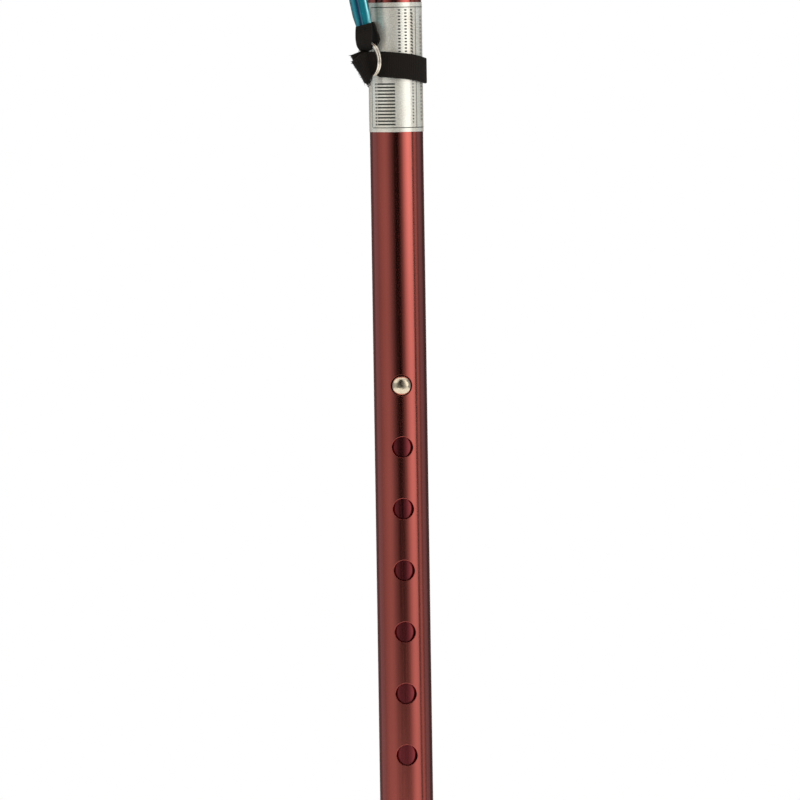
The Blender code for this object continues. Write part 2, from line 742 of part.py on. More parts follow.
# Wrist strap


def make_shaft_strap(carrier):
    """The webbing round the shaft, whose two ends lie together as a tail at the front left."""
    half = STRAP_WIDTH / 2
    profile = ring_profile(STRAP_INNER_R, STRAP_OUTER_R, -half, half)
    strap = as_mesh(turned("shaft_strap", profile, TUBE_STEPS))
    for vertex in strap.data.vertices:
        vertex.co.z -= STRAP_SLOPE * vertex.co.x
    add_part(strap, (0, 0, STRAP_Z), carrier, BLACK_WEBBING)
    beside = RING_SIDEWAYS + TAIL_THICKNESS / 2
    root = math.sqrt(STRAP_OUTER_R**2 - beside**2) - 0.1 * MM
    past_ring = RING_OUT + RING_TURN + GAP
    low = [(out, tail_line(out).z - STRAP_Z - half) for out in (root, past_ring)]
    high = [(out, tail_line(out).z - STRAP_Z + half) for out in (past_ring, root)]
    outline = low + [(past_ring + out, up) for out, up in STRAP_TAIL] + high
    tail = as_mesh(flat_outline("strap_tail", [outline], TAIL_THICKNESS / 2))
    tail.parent = carrier
    tail_axes = Matrix((-RING_NORMAL, Vector((0, 0, 1)), -RING_ACROSS))
    tail.rotation_euler = tail_axes.transposed().to_euler()
    tail.location = RING_SIDEWAYS * RING_ACROSS + Vector((0, 0, STRAP_Z))
    combine(strap, tail, "UNION")


def make_split_ring(carrier):
    """The split ring, as two flat turns side by side."""
    inner = RING_R - RING_RADIAL / 2
    outer = RING_R + RING_RADIAL / 2
    edge = 0.15 * MM
    half = RING_TURN
    profile = [
        (outer - edge, half),
        (outer, half - edge),
        (outer, edge),
        (outer - 2 * edge, 0.0),
        (outer, -edge),
        (outer, -half + edge),
        (outer - edge, -half),
        (inner + edge, -half),
        (inner, -half + edge),
        (inner, half - edge),
        (inner + edge, half),
    ]
    ring = turned("split_ring", profile, RING_STEPS)
    add_part(ring, ring_centre(), carrier, NICKEL)
    ring.rotation_euler = RING_NORMAL.to_track_quat("Z", "Y").to_euler()
    smooth(ring)


def tab_bottom():
    """The height of the tab's underside, below the ring's top."""
    return ring_centre().z + RING_R - RING_RADIAL / 2 - GAP - TAB_UNDER_RING


def make_strap_tab(carrier):
    """The sewn webbing tab: it holds the loop's two ends, and the ring passes through its foot."""
    profile = [
        (0.0, TAB_HEIGHT),
        (1.0, TAB_HEIGHT),
        (1.0, TAB_FOOT_HEIGHT),
        (TAB_FOOT_SHARE, 0.0),
        (0.0, 0.0),
    ]
    tab = turned("strap_tab", profile, 32)
    tab.scale = (TAB_HALF_X, TAB_HALF_Y, 1.0)
    shaped = as_mesh(tab)
    shaped.data.transform(shaped.matrix_world)
    shaped.matrix_world = Matrix.Identity(4)
    ring = ring_centre()
    place = (ring.x - TAB_LEFT_OF_RING, ring.y - TAB_BEFORE_RING, tab_bottom())
    add_part(shaped, place, carrier, BLACK_WEBBING)
    inner = RING_R - RING_RADIAL / 2 - GAP
    outer = RING_R + RING_RADIAL / 2 + GAP
    way = turned("ring_way", ring_profile(inner, outer, -RING_TURN - GAP, RING_TURN + GAP), RING_STEPS)
    way.parent = carrier
    way.rotation_euler = RING_NORMAL.to_track_quat("Z", "Y").to_euler()
    way.location = ring_centre()
    combine(shaped, way)


def smooth_route(points, count):
    """Points spaced evenly along a smooth curve through the route's own points."""
    dense = []
    for number in range(len(points) - 1):
        before = points[max(number - 1, 0)]
        start = points[number]
        end = points[number + 1]
        after = points[min(number + 2, len(points) - 1)]
        for step in range(16):
            t = step / 16
            dense.append(
                0.5
                * (
                    2 * start
                    + (end - before) * t
                    + (2 * before - 5 * start + 4 * end - after) * t**2
                    + (3 * start - before - 3 * end + after) * t**3
                )
            )
    dense.append(points[-1])
    lengths = [0.0]
    for first, second in zip(dense[:-1], dense[1:]):
        lengths.append(lengths[-1] + (second - first).length)
    even = []
    place = 0
    for number in range(count):
        target = lengths[-1] * number / (count - 1)
        while place < len(lengths) - 2 and lengths[place + 1] < target:
            place += 1
        share = (target - lengths[place]) / (lengths[place + 1] - lengths[place])
        even.append(dense[place].lerp(dense[place + 1], share))
    return even, lengths[-1]


def make_wrist_loop(carrier):
    """The flat cord that rises from the tab, goes over the handle's long end and comes back."""
    lean = math.atan(LOOP_LEAN)
    route = [Vector((y, (z - LOOP_FOOT_Z) / math.cos(lean))) for y, z in LOOP_ROUTE]
    points, length = smooth_route(route, LOOP_POINTS)
    print(f"wrist loop: {length / MM:.1f} mm along its middle line")
    curve = bpy.data.curves.new("wrist_loop", "CURVE")
    curve.dimensions = "2D"
    curve.bevel_depth = LOOP_THICKNESS / 2
    curve.bevel_resolution = 2
    curve.extrude = (LOOP_WIDTH - LOOP_THICKNESS) / 2
    curve.use_fill_caps = True
    spline = curve.splines.new("POLY")
    spline.points.add(len(points) - 1)
    for target, point in zip(spline.points, points):
        target.co = (point.x, point.y, 0.0, 1.0)
    loop = bpy.data.objects.new("wrist_loop", curve)
    add_part(loop, (LOOP_FOOT_X, 0, LOOP_FOOT_Z), carrier, TEAL_CORD)
    across = Vector((0.0, 1.0, 0.0))
    rising = Vector((-math.sin(lean), 0.0, math.cos(lean)))
    facing = across.cross(rising)
    loop.rotation_euler = Matrix((across, rising, facing)).transposed().to_euler()


def build_cane():
    """Makes every piece, each under the empty of the body that carries it."""
    root = axis_empty("upper_section", (0, 0, 0))
    lower = axis_empty("lower_section", (0, 0, UPPER_BOTTOM_Z), root)
    button_axis = axis_empty("button_axis", (0, 0, BUTTON_Z), lower)
    nut_axis = axis_empty("nut_axis", (0, 0, NUT_BOTTOM_Z), root)
    wrist = axis_empty("wrist_set", (0, 0, 0), root)
    wrist.rotation_euler = (0, 0, WRIST_TURN)
    make_upper_tube(root)
    make_label(root)
    make_handle_plug(root)
    make_handle_grip(root)
    make_handle_screw(root)
    make_trim_ring(root)
    make_thread_sleeve(root)
    make_collet(root)
    make_slip_washer(root)
    make_lock_nut(nut_axis)
    make_lower_tube(lower)
    make_glide_plug(lower)
    make_button_spring(lower)
    make_snap_button(button_axis)
    make_rubber_tip(lower)
    make_tip_washer(lower)
    make_shaft_strap(wrist)
    make_split_ring(wrist)
    make_strap_tab(wrist)
    make_wrist_loop(root)


build_cane()
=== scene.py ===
"""Looks for a height-adjustable walking cane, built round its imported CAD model.

The cane stands along Z on its rubber tip. Its adjusting holes and snap button face -Y, and the
handle's long end points to -X. Every length is in metres, and every angle in a size is in degrees.
The strap, the ring, the tab and the loop hang in a frame of their own, turned a little about Z.
"""

import logging
import math
from collections.abc import Callable, Sequence
from dataclasses import dataclass
from enum import Enum

import bmesh
import bpy
import numpy as np
from mathutils import Matrix, Vector


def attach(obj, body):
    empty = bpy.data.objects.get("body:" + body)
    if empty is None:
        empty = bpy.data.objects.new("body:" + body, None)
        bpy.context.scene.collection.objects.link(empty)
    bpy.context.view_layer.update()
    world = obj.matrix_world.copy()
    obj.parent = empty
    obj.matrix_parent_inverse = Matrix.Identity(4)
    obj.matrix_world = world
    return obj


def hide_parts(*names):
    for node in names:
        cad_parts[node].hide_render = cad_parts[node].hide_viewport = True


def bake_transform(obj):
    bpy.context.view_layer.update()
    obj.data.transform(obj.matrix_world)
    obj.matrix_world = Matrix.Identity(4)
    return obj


MM = 0.001
FULL_TURN = 2.0 * math.pi
LOG = logging.getLogger("walking_cane")

Colour = tuple[float, float, float]
Point = tuple[float, float, float]
Curve = Sequence[tuple[float, float]]
Piece = bpy.types.Object
Socket = bpy.types.NodeSocket
Array = np.ndarray

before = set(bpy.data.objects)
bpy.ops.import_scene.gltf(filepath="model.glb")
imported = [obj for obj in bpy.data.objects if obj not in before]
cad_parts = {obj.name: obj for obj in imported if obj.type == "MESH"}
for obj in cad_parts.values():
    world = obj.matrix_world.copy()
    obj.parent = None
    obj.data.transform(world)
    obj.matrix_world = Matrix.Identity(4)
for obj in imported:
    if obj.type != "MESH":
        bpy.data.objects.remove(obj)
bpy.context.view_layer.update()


class Body(Enum):
    """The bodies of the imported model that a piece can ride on."""

    UPPER = "upper"
    LOWER = "lower"
    BUTTON = "button"
    NUT = "nut"


class Slot(Enum):
    """The record's material slots."""

    RED_ALUMINIUM = "red_anodised_aluminium"
    NICKEL = "polished_nickel"
    STEEL = "spring_steel"
    PLASTIC = "black_moulded_plastic"
    NYLON = "white_nylon"
    RUBBER = "black_rubber"
    FOIL = "silver_foil"
    WEBBING = "black_webbing"
    CORD = "teal_gloss_cord"


class HoleSide(Enum):
    """The side of a tube that a hole is drilled in, as the sign of Y."""

    FRONT = -1.0
    BACK = 1.0


# Node trees and finishes


class NodeSheet:
    """A node tree in the making."""

    def __init__(self, tree: bpy.types.NodeTree) -> None:
        """Starts on a tree."""
        self.tree = tree

    def feed(self, source: object, target: Socket) -> None:
        """Links an output to an input, or sets a plain value on it.

        Args:
            source: An output socket, a number or a colour.
            target: The input socket.
        """
        if isinstance(source, Socket):
            self.tree.links.new(source, target)
        elif isinstance(source, tuple) and len(source) == 3 and target.type == "RGBA":
            target.default_value = (*source, 1.0)
        else:
            target.default_value = source

    def node(
        self, kind: str, links: dict[str | int, object] | None = None, **settings: object
    ) -> bpy.types.Node:
        """Adds a node.

        Args:
            kind: The node's type name.
            links: What feeds each input, by name or number: a socket or a plain value.
            **settings: The node's attributes.

        Returns:
            The node.
        """
        made = self.tree.nodes.new(kind)
        for key, value in settings.items():
            setattr(made, key, value)
        for key, source in (links or {}).items():
            self.feed(source, made.inputs[key])
        return made

    def add(
        self, kind: str, links: dict[str | int, object] | None = None, output: int | str = 0,
        **settings: object
    ) -> Socket:
        """Adds a node, and gives one of its outputs."""
        return self.node(kind, links, **settings).outputs[output]

    def calc(self, operation: str, *values: object) -> Socket:
        """The result of one Math node, from one to three sockets or numbers."""
        return self.add("ShaderNodeMath", dict(enumerate(values)), operation=operation)

    def looked_at(self) -> Socket:
        """1 for a camera, glossy or transmission ray, and 0 for any other."""
        rays = [
            self.add("ShaderNodeLightPath", output=f"Is {kind} Ray")
            for kind in ("Camera", "Glossy", "Transmission")
        ]
        return self.calc("MAXIMUM", self.calc("MAXIMUM", rays[0], rays[1]), rays[2])


class ShaderTree(NodeSheet):
    """The nodes of one material, with short ways to make the usual ones."""

    def __init__(self, name: str) -> None:
        """Starts a material with its Principled shader.

        Args:
            name: The material's name.
        """
        self.material = bpy.data.materials.new(name)
        self.material.use_nodes = True
        super().__init__(self.material.node_tree)
        self.shader = self.tree.nodes["Principled BSDF"]

    def shade(self, **values: object) -> None:
        """Feeds the shader's own sockets, each named with _ for a space."""
        for key, value in values.items():
            self.feed(value, self.shader.inputs[key.replace("_", " ")])

    def show(self, surface: Socket) -> None:
        """Shows another shader, which glows but is no lamp."""
        self.feed(surface, self.tree.nodes["Material Output"].inputs["Surface"])
        self.material.cycles.emission_sampling = "NONE"

    def place(self, stretch: Point = (1.0, 1.0, 1.0), source: str = "Object") -> Socket:
        """Coordinates of the surface, from a Texture Coordinate output, scaled along each axis."""
        coordinates = self.node("ShaderNodeTexCoord").outputs[source]
        return self.add("ShaderNodeMapping", {"Vector": coordinates, "Scale": stretch})

    def split(self, vector: Socket) -> tuple[Socket, ...]:
        """The three numbers of a vector."""
        return tuple(self.node("ShaderNodeSeparateXYZ", {0: vector}).outputs)

    def from_axis(self) -> Socket:
        """The surface's distance from the Z axis."""
        x, y, _ = self.split(self.place())
        return self.calc("SQRT", self.calc("ADD", self.calc("MULTIPLY", x, x), self.calc("MULTIPLY", y, y)))

    def grain(self, place: Socket, scale: float, detail: float = 3.0) -> Socket:
        """Noise about 0.5, from coordinates, the features in one metre and the finer layers."""
        return self.add("ShaderNodeTexNoise", {"Vector": place, "Scale": scale, "Detail": detail})

    def span(self, value: object, low: float, high: float, start: float = 0.0, end: float = 1.0) -> Socket:
        """Maps a value, so that low gives start and high gives end, and keeps it between them."""
        return self.add("ShaderNodeMapRange", dict(enumerate((value, low, high, start, end))))

    def ramp(self, factor: object, stops: Sequence[tuple[float, Colour]]) -> Socket:
        """A colour ramp.

        Args:
            factor: Where along the ramp the surface is.
            stops: Each stop's position and colour.

        Returns:
            The colour.
        """
        made = self.node("ShaderNodeValToRGB", {0: factor})
        elements = made.color_ramp.elements
        while len(elements) < len(stops):
            elements.new(1.0)
        for element, (position, colour) in zip(elements, stops):
            element.position = position
            element.color = (*colour, 1.0)
        return made.outputs[0]

    def mix(self, factor: object, first: object, second: object) -> Socket:
        """Mixes two colours: 0 gives the first, and 1 the second."""
        return self.add("ShaderNodeMix", {0: factor, 6: first, 7: second}, 2, data_type="RGBA")

    def relief(self, height: Socket, depth: float, below: Socket | None = None) -> Socket:
        """The normal of a bump of a real depth, which may lie on the relief of another normal."""
        links = {"Height": height, "Distance": depth} | ({} if below is None else {"Normal": below})
        return self.add("ShaderNodeBump", links)


def scaled(colour: Colour, factor: float) -> Colour:
    """A lighter or darker colour of the same hue."""
    return tuple(factor * part for part in colour)


@dataclass(frozen=True)
class Finish:
    """A named finish, whose material is made once and then shared."""

    name: str
    slot: Slot

    def material(self) -> bpy.types.Material:
        """The finish's material, which is made at the first call."""
        found = bpy.data.materials.get(self.name)
        if found is not None:
            return found
        tree = ShaderTree(self.name)
        self.paint(tree)
        return tree.material

    def paint(self, tree: ShaderTree) -> None:
        """Builds the nodes in the material's tree."""
        raise NotImplementedError


@dataclass(frozen=True)
class Grain:
    """Noise over a surface: features in a metre, finer layers, and the stretch of its axes."""

    scale: float
    layers: float
    stretch: Point = (1.0, 1.0, 1.0)

    def on(self, tree: ShaderTree) -> Socket:
        """The noise in a material's tree."""
        return tree.grain(tree.place(self.stretch), self.scale, self.layers)


@dataclass(frozen=True)
class GrainedFinish(Finish):
    """A plain finish, whose tone, gloss and relief each follow a grain.

    The tone's span is the part of its grain over which the colour turns into the stain. The
    roughness is mapped from the gloss grain's span. The extras are more of the shader's values.
    """

    colour: Colour
    stain: Colour
    tone: Grain
    tone_span: tuple[float, float]
    gloss: Grain
    roughness: tuple[float, float]
    relief: Grain
    depth: float
    gloss_span: tuple[float, float] = (0.3, 0.7)
    dents: float = 0.0
    extras: tuple[tuple[str, float], ...] = ()

    def paint(self, tree: ShaderTree) -> None:
        """Builds the nodes in the material's tree.

        Args:
            tree: The material\'s tree.
        """
        tree.shade(
            Base_Color=tree.mix(tree.span(self.tone.on(tree), *self.tone_span), self.colour, self.stain),
            Roughness=tree.span(self.gloss.on(tree), *self.gloss_span, *self.roughness), **dict(self.extras)
        )
        if self.depth:
            normal = tree.relief(self.relief.on(tree), self.depth)
            if self.dents:
                normal = tree.relief(HAMMERED.on(tree), self.dents, normal)
            tree.shade(Normal=normal)


@dataclass(frozen=True)
class AnodisedAluminium(Finish):
    """Drawn tube, dyed red and sealed, with fine lines along its length.

    The cut walls of its holes and its bore are duller than the drawn skin, and painted darker as the shade in
    these recesses.
    """

    outer: float = 11.0 * MM
    colour: Colour = (0.60, 0.140, 0.112)
    cut_painted_shade_colour: Colour = (0.20, 0.016, 0.014)
    roughness: float = 0.16
    cut_roughness: float = 0.42
    line_depth: float = 0.0012 * MM
    cut_from: float = 0.34 * MM
    cut_to: float = 0.22 * MM

    def paint(self, tree: ShaderTree) -> None:
        """Builds the dyed metal: a base that varies a little, with faint draw lines, and painted shade on the
        cut walls and the bore.

        Args:
            tree: The material\'s tree.
        """
        lines = tree.grain(tree.place((1.0, 1.0, 0.012)), 1800.0, 2.0)
        cloud = tree.grain(tree.place((1.0, 1.0, 0.25)), 45.0)
        skin = tree.span(tree.from_axis(), self.outer - self.cut_from, self.outer - self.cut_to)
        colour = tree.mix(tree.span(cloud, 0.3, 0.7), scaled(self.colour, 0.88), self.colour)
        rough = tree.span(lines, 0.3, 0.7, self.roughness - 0.03, self.roughness + 0.04)
        # the cut walls and the bore take a darker colour: painted shade in the holes
        tree.shade(
            Base_Color=tree.mix(skin, self.cut_painted_shade_colour, colour), Metallic=1.0,
            Roughness=tree.calc("MAXIMUM", rough, tree.span(skin, 0.0, 1.0, self.cut_roughness, 0.0)),
            Coat_Weight=0.12, Coat_Roughness=0.10, Normal=tree.relief(lines, self.line_depth)
        )


@dataclass(frozen=True)
class MouldedPlastic(Finish):
    """Black plastic from a spark-eroded mould, with a fine pebble grain."""

    colour: Colour = (0.020, 0.020, 0.021)
    roughness: float = 0.44
    grain_scale: float = 2600.0
    grain_depth: float = 0.020 * MM
    seam_depth: float = 0.0
    seam_half: float = 0.05 * MM
    seam_edge: float = 0.22 * MM

    def paint(self, tree: ShaderTree) -> None:
        """Builds the grained plastic, rubbed a little smoother in places.

        Args:
            tree: The material\'s tree.
        """
        place = tree.place()
        pebble = tree.add(
            "ShaderNodeTexVoronoi", {"Vector": place, "Scale": self.grain_scale}, feature="SMOOTH_F1"
        )
        normal = tree.relief(pebble, self.grain_depth)
        if self.seam_depth:
            across = tree.calc("ABSOLUTE", tree.split(place)[1])
            normal = tree.relief(tree.span(across, self.seam_half, self.seam_edge), self.seam_depth, normal)
        rub = tree.grain(place, 55.0, 4.0)
        tree.shade(
            Base_Color=tree.mix(tree.span(rub, 0.35, 0.7), self.colour, scaled(self.colour, 1.5)),
            Roughness=tree.span(rub, 0.3, 0.7, self.roughness + 0.08, self.roughness - 0.06), Normal=normal
        )


@dataclass(frozen=True)
class BlackRubber(Finish):
    """Moulded rubber, matt, with a bloom of dust low down."""

    colour: Colour = (0.022, 0.022, 0.023)
    dust: Colour = (0.075, 0.070, 0.064)
    dust_height: float = 9.0 * MM
    pit_depth: float = 0.03 * MM

    def paint(self, tree: ShaderTree) -> None:
        """Builds the pitted rubber.

        Args:
            tree: The material\'s tree.
        """
        place = tree.place()
        patches = tree.grain(place, 130.0, 5.0)
        low = tree.span(tree.split(place)[2], 0.0, self.dust_height, 0.75, 0.12)
        dusty = tree.calc("MULTIPLY", low, tree.span(patches, 0.35, 0.75))
        tree.shade(
            Base_Color=tree.mix(dusty, self.colour, self.dust),
            Roughness=tree.span(patches, 0.3, 0.7, 0.66, 0.86),
            Normal=tree.relief(tree.grain(place, 2400.0, 4.0), self.pit_depth)
        )


@dataclass(frozen=True)
class WovenWebbing(Finish):
    """Black woven webbing; its UV map runs along and across the weave in metres."""

    colour: Colour = (0.0060, 0.0042, 0.0030)
    painted_lit_yarn: Colour = (0.018, 0.014, 0.010)
    weft: float = 0.56 * MM
    warp: float = 0.62 * MM
    depth: float = 0.07 * MM
    fuzz_depth: float = 0.05 * MM

    def paint(self, tree: ShaderTree) -> None:
        """Builds the weave: yarns that pass over and under each other, their raised crossings painted lighter
        as lit, and a faint fuzz.

        Args:
            tree: The material\'s tree.
        """
        along, across, _ = tree.split(tree.place(source="UV"))
        over = tree.calc("SINE", tree.calc("MULTIPLY", along, FULL_TURN / self.weft))
        under = tree.calc("SINE", tree.calc("MULTIPLY", across, FULL_TURN / self.warp))
        weave = tree.span(tree.calc("MULTIPLY", over, under), -1.0, 1.0)
        fuzz = tree.grain(tree.place(), 5200.0)
        # the raised crossings are painted lighter: painted light on the yarns' tops
        shade = tree.calc("MULTIPLY", weave, tree.span(fuzz, 0.3, 0.75))
        tree.shade(
            Base_Color=tree.mix(shade, self.colour, self.painted_lit_yarn),
            Roughness=tree.span(fuzz, 0.3, 0.7, 0.62, 0.85), Specular_IOR_Level=0.18, Sheen_Weight=0.03,
            Sheen_Roughness=0.45, Normal=tree.relief(fuzz, self.fuzz_depth, tree.relief(weave, self.depth))
        )


@dataclass(frozen=True)
class GlossyBraid(Finish):
    """Teal braid under a clear gloss, with its reflections painted across it; its UV map runs along and
    across it in metres.
    """

    half_width: float = 3.75 * MM
    teal: Colour = (0.010, 0.29, 0.37)
    # painted light: a highlight, a lit band, a dark reflected band that also tones the strands, and shade at
    # the edges
    painted_highlight_cyan: Colour = (0.30, 0.92, 0.95)
    bright: Colour = (0.014, 0.37, 0.46)
    strand_navy_and_painted_dark_band: Colour = (0.002, 0.045, 0.12)
    painted_edge_shade_green: Colour = (0.004, 0.075, 0.060)
    strand: float = 1.5 * MM
    strand_depth: float = 0.03 * MM
    wander: float = 0.18 * MM

    def paint(self, tree: ShaderTree) -> None:
        """Builds the braid: bands along its length that paint its reflections as a dark band, a lit band, a
        highlight and shaded edges, crossed by its slanting strands.

        Args:
            tree: The material\'s tree.
        """
        along, across, _ = tree.split(tree.place(source="UV"))
        cloud = tree.grain(tree.place((1.0, 1.0, 0.5)), 500.0)
        shift = tree.span(cloud, 0.3, 0.7, -self.wander, self.wander)
        teal, strand_navy_and_painted_dark_band, bright, painted_highlight_cyan = self.teal, self.strand_navy_and_painted_dark_band, self.bright, self.painted_highlight_cyan
        # the bands across the cord paint its reflections: a dark band, a lit band, a highlight, and shade at
        # both edges
        painted_reflection_bands = tree.ramp(
            tree.span(tree.calc("ADD", across, shift), -self.half_width, self.half_width),
            (
                (0.00, self.painted_edge_shade_green), (0.09, teal), (0.25, teal), (0.33, strand_navy_and_painted_dark_band), (0.40, strand_navy_and_painted_dark_band), (0.48, teal),
                (0.58, bright), (0.66, bright), (0.77, teal), (0.83, painted_highlight_cyan), (0.86, painted_highlight_cyan), (0.91, teal),
                (0.97, self.painted_edge_shade_green)
            )
        )
        one, two = (
            tree.calc("SINE", tree.calc("MULTIPLY", tree.calc(way, along, across), FULL_TURN / self.strand))
            for way in ("ADD", "SUBTRACT")
        )
        braid = tree.span(tree.calc("MULTIPLY", one, two), -1.0, 1.0)
        tree.shade(
            Base_Color=tree.mix(tree.span(braid, 0.0, 1.0, 0.0, 0.25), painted_reflection_bands, strand_navy_and_painted_dark_band), Metallic=0.6,
            Roughness=tree.span(cloud, 0.3, 0.7, 0.20, 0.30), Coat_Weight=1.0, Coat_IOR=1.6,
            Coat_Roughness=0.06, Normal=tree.relief(braid, self.strand_depth)
        )


METAL = (("Metallic", 1.0),)
WEAR = Grain(900.0, 4.0)
HAIRLINES = Grain(4200.0, 2.0, (0.15, 1.0, 1.0))
HAMMERED = Grain(700.0, 2.5)
STREAKS = Grain(2600.0, 3.0, (1.0, 1.0, 0.06))
TURNED_LINES = Grain(3000.0, 2.0, (0.05, 0.05, 1.0))
RIPPLES = Grain(240.0, 2.0, (1.0, 1.0, 0.35))
SPECKLE = Grain(3200.0, 3.0)
TWIST = Grain(9000.0, 2.0)

RED_TUBE = AnodisedAluminium("red_anodised_tube", Slot.RED_ALUMINIUM)
# the inner tube's red is painted darker than the upper tube's, as the shade it lies in behind the holes
INNER_TUBE_PAINTED_SHADE = AnodisedAluminium(
    "red_inner_tube_painted_shade", Slot.RED_ALUMINIUM, outer=9.5 * MM, colour=(0.34, 0.055, 0.062), roughness=0.20
)
NICKEL = GrainedFinish(
    "polished_nickel_plate", Slot.NICKEL, (0.93, 0.85, 0.73), scaled((0.93, 0.85, 0.73), 0.86), WEAR,
    (0.4, 0.8), WEAR, (0.15, 0.27), HAIRLINES, 0.002 * MM, (0.35, 0.75), extras=METAL
)
STRUCK_NICKEL = GrainedFinish(
    "struck_nickel", Slot.NICKEL, (0.86, 0.73, 0.54), scaled((0.86, 0.73, 0.54), 0.86), WEAR,
    (0.4, 0.8), WEAR, (0.19, 0.31), HAIRLINES, 0.002 * MM, (0.35, 0.75), 0.08 * MM, METAL
)
SPRING_STEEL = GrainedFinish(
    "rolled_spring_steel", Slot.STEEL, (0.45, 0.46, 0.48), scaled((0.45, 0.46, 0.48), 0.6),
    Grain(260.0, 4.0), (0.5, 0.8), STREAKS, (0.26, 0.44), STREAKS, 0.004 * MM, extras=METAL
)
NYLON = GrainedFinish(
    "natural_nylon", Slot.NYLON, (0.78, 0.77, 0.73), (0.72, 0.69, 0.60), Grain(220.0, 3.0), (0.3, 0.8),
    TURNED_LINES, (0.36, 0.52), TURNED_LINES, 0.006 * MM,
    extras=(("Subsurface_Weight", 0.15), ("Subsurface_Scale", 1.0 * MM))
)
FOIL = GrainedFinish(
    "champagne_foil", Slot.FOIL, (0.93, 0.91, 0.81), (0.86, 0.80, 0.68), RIPPLES, (0.4, 0.7),
    Grain(5000.0, 2.0), (0.22, 0.30), RIPPLES, 0.012 * MM, extras=(("Metallic", 0.57),)
)
INK = GrainedFinish(
    "dark_rule_ink", Slot.FOIL, (0.018, 0.020, 0.016), (0.07, 0.07, 0.06), SPECKLE, (0.45, 0.8), SPECKLE,
    (0.38, 0.5), SPECKLE, 0.0
)
THREAD = GrainedFinish(
    "black_sewing_thread", Slot.WEBBING, (0.0045, 0.0042, 0.0040), scaled((0.0045, 0.0042, 0.0040), 2.5),
    TWIST, (0.4, 0.7), TWIST, (0.45, 0.6), TWIST, 0.02 * MM, extras=(("Specular_IOR_Level", 0.25),)
)
HANDLE_PLASTIC = MouldedPlastic("black_handle_plastic", Slot.PLASTIC, seam_depth=0.10 * MM)
CLAMP_PLASTIC = MouldedPlastic("black_clamp_plastic", Slot.PLASTIC, roughness=0.36, grain_scale=4200.0)
RUBBER = BlackRubber("black_tip_rubber", Slot.RUBBER)
WEBBING = WovenWebbing("black_woven_webbing", Slot.WEBBING)
BRAID = GlossyBraid("teal_glossy_braid", Slot.CORD)


# Mesh tools


def unit(vector: Array) -> Array:
    """The vectors of an array, each scaled to a length of 1."""
    return vector / np.maximum(np.linalg.norm(vector, axis=-1, keepdims=True), 1e-12)


def round_z(radii: object, angles: object, heights: object) -> Array:
    """Points about the Z axis, from radii, angles in radians and heights that fit each other."""
    return np.stack(np.broadcast_arrays(radii * np.cos(angles), radii * np.sin(angles), heights), axis=-1)


class Shell:
    """A mesh in the making: corners with their own shading normals, faces and UVs."""

    def __init__(self) -> None:
        """Starts with no corners."""
        self.points: list[Array] = []
        self.normals: list[Array] = []
        self.faces: list[tuple[int, ...]] = []
        self.uvs: list[tuple[tuple[float, float], ...]] = []
        self.count = 0

    def corners(self, points: Array, normals: Array | None = None) -> Array:
        """Adds corners.

        Args:
            points: The corners' places, with three numbers in the last axis.
            normals: Their shading normals, in the same shape, or None for a creased mesh.

        Returns:
            The corners' numbers, in the array's own shape.
        """
        points = np.asarray(points, float)
        shape = points.shape[:-1]
        size = int(np.prod(shape))
        normals = np.zeros_like(points) if normals is None else np.asarray(normals, float)
        numbers = np.arange(self.count, self.count + size).reshape(shape)
        self.points.append(points.reshape(-1, 3))
        self.normals.append(normals.reshape(-1, 3))
        self.count += size
        return numbers

    def skin(
        self, grid: Array, close_rows: bool = False, close_columns: bool = False, uv: Array | None = None
    ) -> None:
        """Spans quads between the neighbours in a grid of corner numbers.

        Args:
            grid: The corner numbers.
            close_rows: Whether the last row joins the first.
            close_columns: Whether the last column joins the first.
            uv: A UV for each corner of the grid, with its closing row and column.
        """
        if close_rows:
            grid = np.vstack([grid, grid[:1]])
        if close_columns:
            grid = np.hstack([grid, grid[:, :1]])
        for i, j in np.ndindex(grid.shape[0] - 1, grid.shape[1] - 1):
            spots = ((i, j), (i, j + 1), (i + 1, j + 1), (i + 1, j))
            self.face([grid[spot] for spot in spots], None if uv is None else [uv[spot] for spot in spots])

    def face(self, numbers: Sequence[int], uv: Curve | None = None) -> None:
        """Adds one face, from its corners' numbers in order and a UV for each of them, if any."""
        self.faces.append(tuple(map(int, numbers)))
        self.uvs += [] if uv is None else [tuple(map(tuple, uv))]

    def build(self, name: str, crease: float | None = None) -> Piece:
        """Makes the object, with its faces turned outwards and without the corners left unused.

        Args:
            name: The object's name.
            crease: The angle in degrees past which an edge is sharp; None keeps the own normals.

        Returns:
            The object.
        """
        used = sorted({number for face in self.faces for number in face})
        place = {number: index for index, number in enumerate(used)}
        faces = [[place[number] for number in face] for face in self.faces]
        mesh = bpy.data.meshes.new(name)
        mesh.from_pydata(np.vstack(self.points)[used].tolist(), [], faces)
        if len(self.uvs) == len(faces):
            layer = mesh.uv_layers.new(name="along_across")
            flat = np.array([spot for face in self.uvs for spot in face], np.float32)
            layer.data.foreach_set("uv", flat.ravel())
        work = bmesh.new()
        work.from_mesh(mesh)
        if crease is None:
            bmesh.ops.recalc_face_normals(work, faces=work.faces)
        if work.calc_volume(signed=True) < 0.0:
            bmesh.ops.reverse_faces(work, faces=work.faces)
        work.to_mesh(mesh)
        work.free()
        mesh.shade_smooth()
        if crease is None:
            mesh.normals_split_custom_set_from_vertices(unit(np.vstack(self.normals))[used].tolist())
        else:
            mesh.set_sharp_from_angle(angle=math.radians(crease))
        return linked(name, mesh)


def linked(name: str, data: bpy.types.ID) -> Piece:
    """An object with a mesh, a lamp or a camera, in the scene's own collection."""
    obj = bpy.data.objects.new(name, data)
    bpy.context.scene.collection.objects.link(obj)
    return obj


